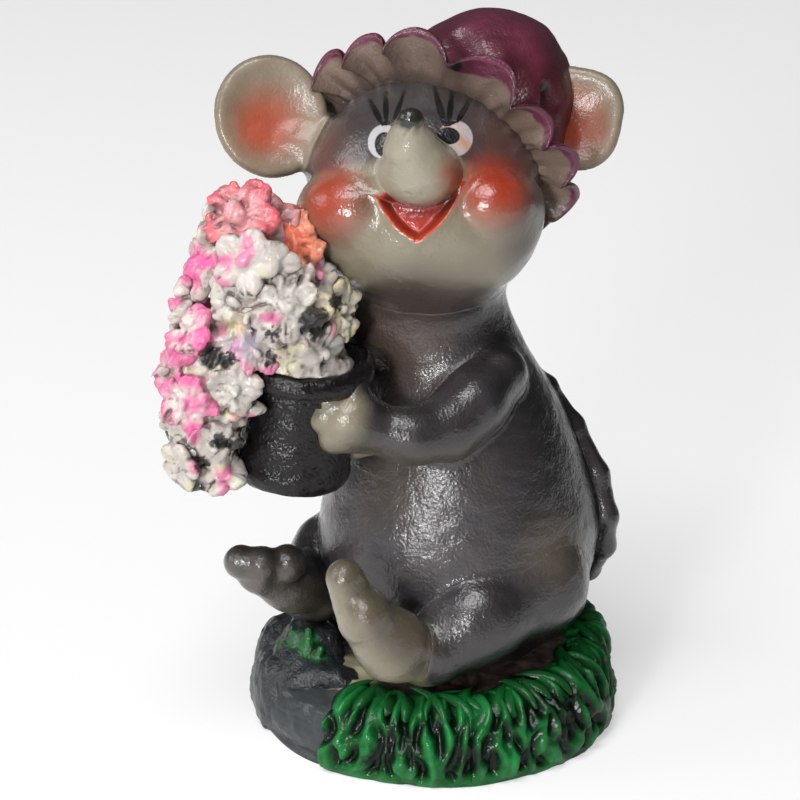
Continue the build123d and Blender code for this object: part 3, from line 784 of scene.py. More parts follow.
for name, (_, _, low, high) in PARTS.items():
    field = part_field(name)
    points, faces = sculpt(field, low, high)
    if name == "head":
        for _ in range(2):
            first = to_face(points)[[face[0] for face in faces]]
            zone = (first[:, 2] > 9) & (np.abs(first[:, 0]) < 9.5) & (first[:, 1] > -9) & (first[:, 1] < 15)
            points, faces = refine(points, faces, zone, field, STEP)
    colour = coat_colour(points, normals_of(skin, points))
    paint, slot = PAINTS.get(name, (coat_paint, "grey_paint"))
    piece(name, points, faces, paint, colour)


# Bonnet
def turned(tilt_angle, turn_angle):
    """Rows of a frame that is tipped back from the face and turned to one side."""
    a, b = radians(tilt_angle), radians(turn_angle)
    tip = np.array([[1, 0, 0], [0, cos(a), sin(a)], [0, -sin(a), cos(a)]])
    swing = np.array([[cos(b), 0, sin(b)], [0, 1, 0], [-sin(b), 0, cos(b)]])
    return swing @ tip @ FACE


RING = turned(42, 18)
RING_CENTRE = from_face(0.8, 4.5, -4.0)

# Bearings of the ruffle's crests in degrees, the rim's radius at some bearings, and the root's radius
CRESTS = [-180, -158, -134, -110, -86, -62, -38, -18, 1, 18, 36, 62, 95, 116, 136, 158, 180]
RIM_AT = [-180, -150, -90, -45, -22, -10, 0, 18, 36, 50, 62, 80, 95, 116, 136, 180]
RIM = [21.0, 19.5, 17.4, 17.2, 18.0, 19.8, 21.4, 22.2, 20.6, 21.2, 22.2, 21.2, 22.0, 20.8, 20.6, 21.0]
ROOT = 13.0

# The camera's axes, its place along them and its distance, for paint that is laid on as seen from the front
LOOK = np.array([[0.7071, 0.7071, 0], [-0.2418, 0.2418, 0.9397], [0.6645, -0.6645, 0.342]])
EYE_ACROSS, EYE_UP, EYE_OUT, EYE_REACH = -4.9, 45.6, 416.6, 400


def in_view(points):
    """Where places are seen from the front, in mm across, mm up and mm toward the eye."""
    place = points @ LOOK.T
    zoom = EYE_REACH / (EYE_OUT - place[..., 2])
    across, up = (place[..., 0] - EYE_ACROSS) * zoom + EYE_ACROSS, (place[..., 1] - EYE_UP) * zoom + EYE_UP
    return np.stack([across, up, place[..., 2]], -1)


def frill_mesh():
    """A ruffled band: round the ring, and across from its root over the rim and back."""
    rounds, across = ((420, 40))
    angle = np.linspace(-180, 180, rounds, endpoint=False)
    phase = np.interp(angle, CRESTS, np.arange(len(CRESTS)) * tau)
    wave, sway = np.cos(phase), np.sin(phase)
    rng = np.random.default_rng(4)
    lift = np.interp(angle, CRESTS, np.append(rng.uniform(0.75, 1.25, len(CRESTS) - 1), 1.0))
    rim = np.interp(angle, RIM_AT, RIM) + 0.8 * wave * lift * smooth(-30, 20, angle)
    half = np.linspace(0, 1, across)
    share = np.concatenate([half, half[::-1]])
    face = np.concatenate([np.ones(across), -np.ones(across)])
    spread = share[None, :]
    hem = np.clip(1 - ((spread - 0.93) / 0.07) ** 2, 0, 1) * (spread > 0.93) + (spread <= 0.93)
    thick = (0.85 - 0.25 * spread) * np.sqrt(hem)
    radius = ROOT + (rim[:, None] - ROOT) * spread
    dip = 1.5 * (lift * wave)[:, None] * spread**2.4
    flare = 0.4 + 1.8 * spread**2 - dip + 0.5 * sway[:, None] * spread**3
    crease = 0.22 * np.sin(phase * 3 + 1)[:, None] * np.clip(1 - spread, 0, 1) * spread * 4
    rise = flare + crease + thick * face[None, :]
    bearing = np.radians(angle)[:, None] + np.radians(3.2) * sway[:, None] * spread
    local = np.stack([radius * np.cos(bearing), radius * np.sin(bearing), rise], -1)
    points = RING_CENTRE + local.reshape(-1, 3) @ RING
    columns = 2 * across
    faces = ring_quads(rounds, columns, columns)
    shape = (rounds, columns)
    # painted light and shade that follow the ruffle: paler at the crests, darker in the troughs
    grey = mix(rgb(172, 146, 130), rgb(126, 104, 92), 0.5 - 0.5 * wave[:, None] * spread)
    # darker toward the root: paint gathered in the crease there, and painted shade
    grey = mix(grey, rgb(104, 88, 80), smooth(0.45, 0.15, spread) * np.ones(shape) * 0.8)
    bare = (0.3 * bump(angle, 68, 10))[:, None]
    edge_width = 0.92 - 0.04 * wave[:, None] - bare - 0.08 * bump(angle, 30, 12)[:, None]
    ragged = 0.025 * waves(points, 2.2, 6, 2).reshape(shape)
    magenta = np.where(face[None, :] > 0, smooth(-0.02, 0.02, spread - edge_width + ragged), 1.0)
    # the magenta too is paler at the crests and darker in the troughs, as painted light and shade
    pink = mix(rgb(132, 52, 84), rgb(84, 32, 52), 0.4 - 0.5 * wave[:, None] * spread)
    colour = mix(grey, pink, magenta)
    # painted shade: the frill turns dark brown over its shaded side
    side = smooth(6, -30, angle)[:, None] * np.ones(shape)
    colour = mix(colour, rgb(46, 34, 32), side * 0.85)
    seen = in_view(points)
    spot = smooth(0.85, 0.65, np.hypot(seen[:, 0] - 3.3, seen[:, 1] - 93.7)) * (seen[:, 2] > 34)
    return points, faces, mix(colour.reshape(-1, 3), rgb(10, 10, 10), spot)


def crown_form(points):
    local = to_face(points)
    form = melt(ball(local, (8.6, 15.0, -6.4), 11.5),
                egg(local, (2.0, 5.0, -5.0), (16.2, 15.6, 14.0)), 6)
    ring = (points - RING_CENTRE) @ RING.T
    bearing = np.arctan2(ring[..., 1], ring[..., 0])
    gather = smooth(-8.5, -1.5, ring[..., 2])
    gathers = 0.42 * gather * np.sin(bearing * 17 + 1.2 * np.sin(bearing * 5))
    form = form + gathers + 0.16 * waves(points, 7, 21, 2)
    dents = melt(rod(local, (4.6, 21.6, 3.6), (6.4, 18.6, 5.4), 1.5, 1.1),
                 rod(local, (16.6, 14.0, 2.2), (17.4, 10.8, 2.4), 0.8, 1.3), 0.5)
    form = both(form, -dents, 1.6)
    return both(form, ring[..., 2] - 0.6, 0.4)


def crown_colour(points, normals):
    local = to_face(points)
    fold = openness(crown_form, points, normals, 1.4)
    colour = mix(rgb(126, 44, 68), rgb(92, 28, 44), 0.5 + 0.7 * waves(points, 9, 3, 3))
    # painted light: the crown is paler toward its top
    colour = mix(colour, rgb(146, 68, 100), smooth(15, 24, local[..., 1]) * 0.4)
    # painted shade in the crown's folds
    colour = mix(colour, rgb(50, 22, 32), smooth(0.85, 0.3, fold) * 0.9)
    # painted shade: darker toward the bottom of the crown
    return mix(colour, rgb(70, 30, 40), smooth(2, -14, local[..., 1]) * 0.45)


points, faces, colour = frill_mesh()
piece("bonnet_frill", points, faces, bonnet_paint, colour)
points, faces = sculpt(crown_form, (-22, -16, 66), (34, 34, 112))
colour = crown_colour(points, normals_of(crown_form, points))
piece("bonnet_crown", points, faces, bonnet_paint, colour)


# Hat
HAT_FOOT = vec(-6.9, -22.0, 41.0)
HAT = axes_for(vec(0.125, 0.06, 1.0), (0, 1, 0))


def in_hat(points):
    return (points - HAT_FOOT) @ HAT.T


HAT_WALL_AT = (-1, 0.5, 1.5, 4, 8, 12, 14.5, 16, 17.5, 19.6)
HAT_WALL = (7.2, 7.9, 8.3, 8.1, 7.7, 7.3, 7.1, 7.3, 8.0, 8.6)


def hat_form(points):
    local = in_hat(points)
    around = length(local[..., :2])
    toward = np.cos(np.arctan2(local[..., 1], local[..., 0]) - radians(38))
    height = local[..., 2]
    wall = around - curve(height, HAT_WALL_AT, HAT_WALL)
    form = both(wall, np.maximum(-height, height - 17.8), 0.9)
    curl = 1.1 + 1.7 * toward**2 * np.where(toward > 0, 1.0, 0.6)
    tall = 0.9 + 0.5 * curl
    lip = length(np.stack([(around - 8.6) / 1.35, (height - 16.4 - 0.35 * curl) / tall], -1)) - 1
    form = melt(form, lip * 1.2, 0.8)
    bowl = np.maximum(around - 5.5 - 0.25 * (height - 15.4), 15.4 - height)
    form = both(form, -bowl, 0.5)
    return form + 0.07 * waves(points, 3.0, 14, 3)


def band_form(points):
    local = in_hat(points)
    around, height = length(local[..., :2]), local[..., 2]
    ring = np.maximum(np.abs(height - 14.7) - 0.75, np.abs(around - 7.1) - 0.85)
    groove = length(np.stack([around - 8.0, height - 14.7], -1)) - 0.16
    return both(ring, -groove, 0.3) - 0.12


def hat_colour(points):
    tone = waves(points, 5, 31, 3)
    colour = mix(rgb(20, 16, 19), rgb(32, 25, 30), 0.45 + 0.5 * tone)
    return mix(colour, rgb(10, 8, 9), smooth(3, -1, in_hat(points)[..., 2]) * 0.4)


points, faces = sculpt(hat_form, (-20, -34, 38), (8, -8, 64), 0.32)
piece("hat", points, faces, hat_paint, hat_colour(points))
points, faces = sculpt(band_form, (-17, -32, 51), (5, -10, 61), 0.28)
piece("hat_band", points, faces, hat_paint, hat_colour(points) * 1.1)


# Flowers
WHITE, PALE, PINK = rgb(222, 216, 208), rgb(204, 192, 184), rgb(238, 120, 168)
# the dark grey serves for stains on the blossoms and for painted shade in the pits of the mass
SALMON, CORAL, STAIN_AND_SHADE = rgb(238, 168, 172), rgb(232, 110, 78), rgb(40, 36, 38)


def off_petal(bearing, petals):
    """The angle from the middle of the nearest petal."""
    return ((bearing * petals / tau + 0.5) % 1 - 0.5) * tau / petals


def bloom_form(local, petals, layers, ridge, depth=5.2):
    """A blossom of about 5 mm radius, facing +z, on a short stem."""
    bearing = np.arctan2(local[..., 1], local[..., 0])
    around, height = length(local[..., :2]), local[..., 2]
    form = rod(local, (0, 0, -depth), (0, 0, -0.6), 1.7, 2.1)
    for layer in range(layers):
        grow = 1 - 0.27 * layer
        off = off_petal(bearing + layer * np.pi / petals, petals)
        along, across = around * np.cos(off), around * np.sin(off)
        reach = 4.9 * grow
        mid = reach * 0.56
        cup = 0.30 * (along / reach) ** 2 * (2.2 + 1.4 * layer) + layer * 0.7
        wide = reach * (0.46 if petals < 6 else 0.4)
        vein = 0.3 * bump(across, 0, 0.4) * smooth(0.8, 2.4, along)
        vein = vein + ridge * 0.14 * np.cos(across / 0.42 * 1.6)
        oval = np.stack([(along - mid) / (reach * 0.5), across / wide, (height - cup + vein) / 1.25], -1)
        form = melt(form, (length(oval) - 1) * 1.25, 0.7)
    eye = ball(local, (0, 0, 1.1 + 0.55 * layers), 1.0)
    return melt(form, eye, 0.4)


FLOWERS = [
    # place, facing azimuth and elevation, size, petals, layers, ridge, colour, tip colour
    ((-8.6, -28.5, 79.8), (285, 30), 1.12, 5, 1, 0, SALMON, rgb(234, 108, 122)),
    ((-4.8, -24.6, 75.2), (315, 32), 1.16, 6, 1, 0.3, CORAL, rgb(236, 150, 118)),
    ((-13.9, -30.9, 72.0), (252, 18), 1.0, 5, 1, 0, PINK, PALE),
    ((-1.5, -27.4, 68.6), (325, 18), 1.22, 6, 2, 0.8, WHITE, PALE),
    ((-6.3, -30.8, 69.6), (288, 12), 1.0, 5, 2, 0.3, WHITE, PALE),
    ((-12.0, -35.0, 63.8), (262, 30), 0.9, 5, 1, 0, WHITE, PINK),
    ((-14.1, -36.9, 58.5), (256, 20), 0.76, 5, 1, 0, PALE, PINK),
    ((-3.7, -30.6, 62.9), (325, 12), 0.8, 6, 1, 0, WHITE, PINK),
    ((-0.5, -18.9, 66.6), (10, 10), 0.9, 5, 1, 0.4, WHITE, rgb(214, 200, 160)),
    ((-9.6, -38.2, 55.4), (294, 4), 0.84, 5, 1, 0, WHITE, PINK),
    ((-8.3, -34.9, 49.3), (330, -24), 0.84, 5, 1, 0, WHITE, PALE),
    ((-5.2, -33.9, 57.6), (325, -4), 0.78, 5, 1, 0, WHITE, PALE),
    ((-15.0, -25.0, 71.0), (190, 20), 0.9, 6, 2, 0.3, WHITE, PALE),
    ((-17.0, -32.0, 66.0), (224, 12), 0.98, 5, 1, 0, PINK, WHITE),
    ((-14.0, -23.0, 78.6), (150, 40), 0.8, 5, 1, 0, CORAL, PINK),
    ((-7.0, -20.4, 78.4), (60, 50), 0.84, 5, 1, 0, CORAL, SALMON),
]


# Places in the camera's view, in mm across and up: hollows with their widths, which get painted shade, pink
# strokes with their widths and heights, and soft tints with their widths and colours
SHADED_HOLLOWS = ((-32.0, 51.8, 2.2), (-29.9, 51.4, 1.4), (-17.1, 56.6, 2.6), (-23.2, 55.0, 0.9),
           (-23.5, 51.4, 1.1), (-14.0, 59.6, 1.3), (-28.3, 38.7, 1.8), (-31.0, 39.6, 1.4),
           (-27.4, 41.2, 1.0), (-33.4, 36.6, 1.2))
STROKES = ((-23.6, 57.4, 1.9, 1.0), (-33.6, 54.6, 1.8, 2.2), (-36.4, 54.4, 1.2, 1.2),
           (-35.0, 44.9, 1.6, 1.8), (-34.6, 40.8, 1.1, 1.9), (-33.0, 65.6, 3.6, 1.2),
           (-35.6, 63.2, 1.6, 1.2), (-35.2, 48.4, 1.3, 0.9), (-37.6, 51.6, 1.2, 1.6))
TINTS = ((-27.4, 54.0, 3.0, rgb(170, 166, 196)), (-28.6, 56.2, 2.0, rgb(232, 224, 160)),
         (-14.6, 59.0, 3.0, rgb(226, 214, 164)))


def sprayed(colour, points):
    """Pink strokes and soft tints laid on from the front, and painted shade in the hollows."""
    place = in_view(points)
    wobble = 0.4 * waves(points, 1.6, 68, 2)
    front = smooth(18, 22, place[:, 2])
    for x, y, wide, tall in STROKES:
        away = np.hypot((place[:, 0] - x) / wide, (place[:, 1] - y) / tall) + wobble * 0.6
        colour = mix(colour, rgb(240, 96, 164), smooth(1.3, 0.3, away) * front * 0.8)
    for x, y, wide, tint in TINTS:
        away = np.hypot(place[:, 0] - x, place[:, 1] - y) / wide + wobble * 0.6
        colour = mix(colour, tint, smooth(1.4, 0.2, away) * front * 0.55)
    # painted shade in the hollows between the blossoms
    for x, y, wide in SHADED_HOLLOWS:
        away = np.hypot(place[:, 0] - x, place[:, 1] - y) + wobble * 1.6
        colour = mix(colour, rgb(22, 19, 21), smooth(wide, wide * 0.75, away) * front * 0.95)
    return colour


def flower_piece(number, place, facing, size, petals, layers, ridge, base, tip):
    place = np.asarray(place, float)
    axes = axes_for(aim(*facing))

    def field(points):
        local = (points - place) @ axes.T / size
        ruffle = np.stack([waves(points, 4.2, number + shift, 1) for shift in (0, 30, 60)], -1)
        local = local + ruffle * (0.4, 0.4, 0.45)
        return bloom_form(local, petals, layers, ridge) * size * 0.8 + 0.1 * waves(points, 1.8, number, 2)

    points, faces = sculpt(field, place - 6.6 * size, place + 6.6 * size, 0.26)
    local = (points - place) @ axes.T / size
    around = length(local[:, :2])
    bearing = np.arctan2(local[:, 1], local[:, 0])
    across = around * np.sin(off_petal(bearing, petals))
    tone = waves(points, 3, number + 40, 3)
    colour = mix(base, tip, smooth(2.0, 4.6, around + 0.6 * tone))
    colour = mix(colour, tip * 0.85, bump(across, 0, 0.3) * smooth(0.8, 1.6, around) * 0.6)
    colour = mix(colour, WHITE, smooth(0.5, 0.9, tone) * 0.5)
    fold = openness(field, points, normals_of(field, points), 0.7)
    # painted shade in the folds of the petals
    colour = mix(colour, rgb(112, 92, 86), smooth(0.6, 0.1, fold) * 0.8)
    grime = smooth(0.72, 0.9, waves(points, 1.1, number + 90, 2))
    colour = sprayed(mix(colour, STAIN_AND_SHADE, grime * 0.35), points)
    piece(f"flower_{number:02d}", points, faces, petal_paint, colour)


for number, row in enumerate(FLOWERS, start=1):
    flower_piece(number, *row)


def foliage_form(points):
    rise = chain(points, [(-5.4, -21.2, 59.8), (-6.2, -22.6, 64.8), (-8.4, -25.6, 72), (-8.8, -26.2, 78.0)],
                 [4.6, 7.0, 6.4, 3.8], 2)
    spill = chain(points, [(-9.4, -25.6, 63), (-12.0, -31.4, 57.5), (-11.4, -33.6, 50.0),
                           (-9.6, -33.6, 46.6)], [6.8, 5.6, 4.2, 2.6], 3)
    inside = in_hat(points)
    nest = both(egg(inside, (0.4, -1.2, 16.6), (8.2, 8.2, 4.2)), 16.2 - inside[..., 2], 0.5)
    form = melt(melt(rise, spill, 2), nest, 2)
    near = form < 3.5
    out = form + 0.3 * waves(points, 4, 51, 2) + 0.12 * waves(points, 1.7, 52, 2)
    if near.any():
        close = points[near]
        value = out[near]
        for centre, axes, size in SPRIGS:
            local = (close - centre) @ axes.T / size
            within = length(local) < 6
            if within.any():
                sprig = bloom_form(local[within], 5, 1, 0.2, 2.0) * size * 0.8
                value[within] = melt(value[within], sprig, 0.8)
        out[near] = value
    return both(out, 0.1 - hat_form(points), 0.3)


SPRIG_COUNT = 40


def sprigs():
    """Small filler blossoms, spread over the mass between the larger ones."""
    rng = np.random.default_rng(9)
    rows, tries = [], 0
    spine = [((-6.4, -22.8, 61), (-8.4, -26.0, 76), 7.0), ((-10.4, -28.4, 61), (-11.0, -33.6, 48.0), 5.6)]
    places = [np.asarray(row[0], float) for row in FLOWERS]
    while len(rows) < SPRIG_COUNT and tries < 100 * SPRIG_COUNT:
        tries += 1
        start, end, radius = spine[rng.integers(2)]
        share = rng.uniform(0, 1.05)
        centre = np.asarray(start) + share * (np.asarray(end) - start)
        way = unit(rng.normal(size=3))
        spot = centre + way * radius
        size = rng.uniform(0.62, 0.95)
        apart = np.array([np.linalg.norm(spot - other) for other in places])
        apart[:len(FLOWERS)] -= 1.8
        inside_hat = np.linalg.norm(in_hat(spot)[:2]) < 10 and in_hat(spot)[2] < 18
        seen = in_view(spot)
        stray = seen[1] > 70 and seen[0] > -24
        if apart.min() < 3.4 or inside_hat or stray or way @ FRONT < -0.8:
            continue
        places.append(spot)
        rows.append((spot, axes_for(unit(way + 0.2 * rng.normal(size=3))), size))
    return rows


SPRIGS = sprigs()


def foliage_colour(points, normals):
    colour = mix(WHITE, PALE, 0.5 + 0.5 * waves(points, 4, 61, 3))
    colour = mix(colour, PINK, smooth(0.35, 0.8, waves(points, 7, 62, 2)) * 0.8)
    colour = mix(colour, rgb(226, 222, 170), smooth(0.5, 0.8, waves(points, 5, 66, 2)) * 0.5)
    fold = openness(foliage_form, points, normals, 1.0)
    # painted shade in the folds of the mass
    colour = mix(colour, rgb(84, 74, 72), smooth(0.6, 0.15, fold) * 0.9)
    # painted shade: dark patches down in the pits
    pit_shade = smooth(0.45, 0.65, waves(points, 3.4, 64, 2)) * smooth(0.85, 0.5, fold)
    return sprayed(mix(colour, STAIN_AND_SHADE, np.clip(pit_shade, 0, 1) * 0.9), points)


points, faces = sculpt(foliage_form, (-22, -42, 42), (6, -12, 84), 0.3)
colour = foliage_colour(points, normals_of(foliage_form, points))
piece("foliage", points, faces, petal_paint, colour)


# Mound, rock and grass
MOUND_AT = (0, 0.12, 0.3, 0.55, 0.75, 0.88, 1.0)
MOUND_RADII = (25.6, 26.3, 26.9, 26.2, 24.6, 22.0, 18.0)
MOUND_HEIGHTS = (0, 1.0, 3.2, 6.6, 9.0, 10.2, 10.5)
MOUND_TOP = 10.5


def mound_surface(bearing, share):
    """The place and the outward direction on the mound's side at a bearing and a share of the way up."""
    bank = bump((np.degrees(bearing) - 62 + 180) % 360, 180, 42)

    def at(share_now):
        radius = curve(share_now, MOUND_AT, MOUND_RADII)
        height = curve(share_now, MOUND_AT, MOUND_HEIGHTS)
        radius = radius + 2.6 * bank * smooth(0.5, 1.0, share_now)
        height = height + 2.4 * bank * smooth(0.3, 1.0, share_now)
        radius = radius + 0.5 * np.sin(bearing * 5 + 1) * np.sin(bearing * 2 + 0.4)
        height = height * np.ones_like(bearing)
        return np.stack([radius * np.cos(bearing), radius * np.sin(bearing), height], -1)

    place = at(share)
    up_way = at(np.minimum(share + 0.02, 1)) - at(np.maximum(share - 0.02, 0))
    around = np.stack([-np.sin(bearing), np.cos(bearing), np.zeros_like(bearing)], -1)
    out = np.cross(around, up_way)
    return place, out / length(out)[..., None]


def mound_mesh():
    rounds, rows = 300, 60
    bearing = np.linspace(0, tau, rounds, endpoint=False)
    share = np.linspace(0, 1, rows)
    b, s = np.meshgrid(bearing, share, indexing="ij")
    place, out = mound_surface(b, s)
    rough = 0.25 * waves(place, 5, 71, 3) * smooth(0, 0.15, s)
    place = place + out * rough[..., None] * smooth(1.0, 0.97, s)[..., None]
    turfed = 1 - bump(np.degrees(b), 231, 44)
    sunk = 1.1 * np.clip(turfed * 3, 0, 1) * smooth(0.0, 0.05, s) * smooth(1.0, 0.94, s)
    place = place - out * sunk[..., None]
    points = place.reshape(-1, 3)
    points[:, 2] = np.maximum(points[:, 2], 0)
    faces = ring_quads(rounds, rows, rows - 1).tolist()
    rings = 24
    top = [points.reshape(rounds, rows, 3)[:, -1]]
    for ring in range(1, rings):
        inward = 1 - ring / rings
        flat = top[0] * vec(inward, inward, 0)
        flat[:, 2] = MOUND_TOP + (top[0][:, 2] - MOUND_TOP) * smooth(0.55, 1.0, inward)
        flat[:, 2] += 0.35 * waves(flat, 6, 72, 3) * min(ring / 3, 1)
        top.append(flat)
    start = len(points)
    grid = np.concatenate(top[1:])
    points = np.concatenate([points, grid, [(0, 0, MOUND_TOP), (0, 0, 0)]])
    hub, sole = len(points) - 2, len(points) - 1
    for k in range(rounds):
        n = (k + 1) % rounds
        faces.append([k * rows + rows - 1, n * rows + rows - 1, start + n, start + k])
        for ring in range(rings - 2):
            a = start + ring * rounds
            faces.append([a + k, a + n, a + rounds + n, a + rounds + k])
        a = start + (rings - 2) * rounds
        faces.append([a + k, a + n, hub])
        faces.append([n * rows, k * rows, sole])
    return points, faces


def mound_colour(points):
    bearing = np.degrees(np.arctan2(points[:, 1], points[:, 0])) % 360
    ragged = 4 * waves(points, 5, 73, 2)
    stone = smooth(-3, 3, np.minimum(bearing + ragged - 183, 280 - bearing - ragged))
    green = mix(rgb(6, 44, 20), rgb(14, 74, 32), 0.5 + 0.5 * waves(points, 4, 74, 3))
    green = mix(green, rgb(22, 104, 48), smooth(2.6, 1.0, points[:, 2]))
    colour = mix(green, rgb(64, 68, 70), stone)
    inland = length(points[:, :2]) + 0.8 * waves(points, 3, 75, 2)
    soil = smooth(20.6, 19.2, inland) * smooth(6, 8, points[:, 2])
    colour = mix(colour, mix(rgb(52, 42, 38), rgb(84, 72, 64), 0.5 + waves(points, 2, 76, 3)), soil)
    patch = daub(points, (-1.6, -18.0, MOUND_TOP), 6.8, 4.8, (1, 1, 0.4))
    return mix(colour, rgb(176, 168, 138), patch * soil)


points, faces = mound_mesh()
piece("base_mound", points, faces, grass_paint, mound_colour(points))


def blade(bearing, low, high, curl, width, height, lift):
    """One carved stroke of grass: a leaf with a sharp ridge that climbs the mound and sweeps to one side."""
    rings, sides = 12, 12
    t = np.linspace(0, 1, rings)
    share = low + (high - low) * np.sin(t * np.pi / 2) ** 0.9
    path = bearing + curl * (1.5 * t**2 - 0.5 * t)
    place, out = mound_surface(path, share)
    place = place + out * (lift + 0.9 * t[:, None] ** 2 - 0.2)
    way = np.gradient(place, axis=0)
    way /= length(way)[:, None]
    side = np.cross(way, out)
    side /= length(side)[:, None]
    swell = np.clip(np.sin(np.pi * np.clip(t * 0.9 + 0.08, 0, 1)) ** 0.8, 0.04, 1)
    angle = np.linspace(0, tau, sides, endpoint=False)
    ca, sa = np.cos(angle), np.sin(angle)
    lens = np.where(sa > -0.01, 1 - np.abs(ca) ** 1.2, -0.6 * np.abs(sa))
    lean = 0.3 * np.sign(curl) * np.clip(sa, 0, 1)
    swell = swell[:, None, None]
    loops = place[:, None] + side[:, None] * ((ca + lean)[None, :, None] * (width / 2 * swell))
    loops = loops + out[:, None] * (lens[None, :, None] * (height * swell))
    points = np.concatenate([loops.reshape(-1, 3), place[:1] - way[:1] * 0.3, place[-1:] + way[-1:] * 0.5])
    faces = []
    for r in range(rings - 1):
        for k in range(sides):
            n = (k + 1) % sides
            faces.append([r * sides + k, r * sides + n, (r + 1) * sides + n, (r + 1) * sides + k])
    first, last = rings * sides, rings * sides + 1
    for k in range(sides):
        n = (k + 1) % sides
        faces.append([n, k, first])
        faces.append([(rings - 1) * sides + k, (rings - 1) * sides + n, last])
    crest = np.clip(lens, 0, 1)[None, :] * np.linspace(0.75, 1, rings)[:, None]
    return points, faces, np.concatenate([crest.ravel(), [0, 0.6]])


# The bank unrolled: the radius that turns bearings into mm, and the length from its foot to its top
TURF_RADIUS, TURF_RISE = 26.0, 15.0


def gouge_marks():
    """The carver's strokes: places on the unrolled bank, headings, bends, lengths, widths and depths."""
    rng = np.random.default_rng(23)
    marks = []
    for row, (height, spacing) in enumerate(((4.2, 4.0), (6.8, 3.6), (9.6, 3.4), (12.4, 3.4))):
        across = 0.0
        while across < tau * TURF_RADIUS:
            swing = np.sin(across / 7 + row * 1.3) + 0.7 * rng.normal()
            foot, heading = height + rng.uniform(-1.2, 1.2), 0.6 * swing + rng.uniform(-0.4, 0.4)
            bend, reach = -0.2 * swing + rng.uniform(-0.1, 0.1), rng.uniform(4.0, 7.5)
            width, deep = rng.uniform(0.55, 1.0), rng.uniform(1.0, 1.8)
            marks.append((across, foot, heading, bend, reach, width, deep))
            across += spacing * rng.uniform(0.6, 1.4)
    return marks


def carve(across, height):
    """How far the strip stands off the mound at places on the unrolled bank, and how deep it is cut."""
    flat = np.stack([across, height, np.zeros_like(across)], -1)
    body = 0.8 + 0.25 * waves(flat, 4.5, 91, 2)
    cut, ridge = np.zeros_like(across), np.zeros_like(across)
    low, high = across.min(), across.max()
    turn = tau * TURF_RADIUS
    for start, foot, heading, bend, reach, width, deep in MARKS:
        if start < low - 8 and start + turn < high + 8:
            start = start + turn
        if start < low - 8 or start > high + 8:
            continue
        steps = np.linspace(0, 1, 9)
        way = heading + bend * steps * reach
        x = start + np.concatenate([[0], np.cumsum(np.sin(way[:-1]))]) * reach / 8
        y = foot - reach / 2 + np.concatenate([[0], np.cumsum(np.cos(way[:-1]))]) * reach / 8
        near = (np.abs(across - x.mean()) < reach * 0.7 + 3) & (np.abs(height - y.mean()) < reach * 0.7 + 3)
        if not near.any():
            continue
        px, py = across[near], height[near]
        away, along = np.full(px.shape, 99.0), np.zeros(px.shape)
        for k in range(8):
            run = np.array([x[k + 1] - x[k], y[k + 1] - y[k]])
            share = np.clip(((px - x[k]) * run[0] + (py - y[k]) * run[1]) / (run @ run), 0, 1)
            gap = np.hypot(px - x[k] - share * run[0], py - y[k] - share * run[1])
            closer = gap < away
            away, along = np.where(closer, gap, away), np.where(closer, (k + share) / 8, along)
        strength = np.sin(np.pi * np.clip(along, 0.04, 0.96)) ** 0.6
        groove = deep * strength * np.exp(-(away / width) ** 2)
        cut[near] = np.maximum(cut[near], groove)
        lip = 0.4 * strength * np.exp(-((away - 1.9 * width) / (0.8 * width)) ** 2)
        ridge[near] = np.maximum(ridge[near], lip)
    plain = smooth(1.4, 3.4, height + 0.8 * waves(flat, 3, 92, 2))
    return np.maximum(body + (ridge - cut) * plain, -0.45), cut * plain


def turf(first, last):
    """A closed strip of carved grass between two bearings, with its colours."""
    fine = 0.26
    columns, rows = int(radians(last - first) * TURF_RADIUS / fine), int(TURF_RISE / fine)
    b, s = np.meshgrid(np.radians(np.linspace(first, last, columns)), np.linspace(0, 1, rows), indexing="ij")
    place, out = mound_surface(b, s)
    stand, cut = carve(b * TURF_RADIUS, s * TURF_RISE)
    ends = smooth(0, 0.02, s) * smooth(1.0, 0.93, s)
    outer = place + out * (stand * ends - 0.12)[..., None]
    inner = place - out * 1.7
    points = np.concatenate([outer.reshape(-1, 3), inner.reshape(-1, 3)])
    points[:, 2] = np.maximum(points[:, 2], 0.02)
    faces, shift = [], columns * rows
    for i in range(columns - 1):
        for j in range(rows - 1):
            a, c = i * rows + j, (i + 1) * rows + j
            faces.append([a, c, c + 1, a + 1])
            faces.append([a + 1 + shift, c + 1 + shift, c + shift, a + shift])
        a, c = i * rows, (i + 1) * rows
        faces.append([a + shift, c + shift, c, a])
        faces.append([a + rows - 1, c + rows - 1, c + rows - 1 + shift, a + rows - 1 + shift])
    for j in range(rows - 1):
        a, c = j, (columns - 1) * rows + j
        faces.append([a, a + 1, a + 1 + shift, a + shift])
        faces.append([c + 1, c, c + shift, c + 1 + shift])
    tone = waves(outer, 5, 93, 3)
    colour = mix(rgb(14, 128, 52), rgb(8, 84, 34), 0.45 + 0.5 * tone)
    # painted light on the raised ridges
    colour = mix(colour, rgb(44, 168, 84), smooth(0.7, 1.1, stand) * 0.7)
    # painted shade in the cut grooves
    colour = mix(colour, rgb(2, 26, 11), smooth(0.2, 0.9, cut))
    # painted shade on the darker side of the bank
    colour = colour * (0.6 - 0.2 * smooth(340, 380, np.degrees(b)))[..., None]
    return points, faces, np.concatenate([colour.reshape(-1, 3)] * 2)


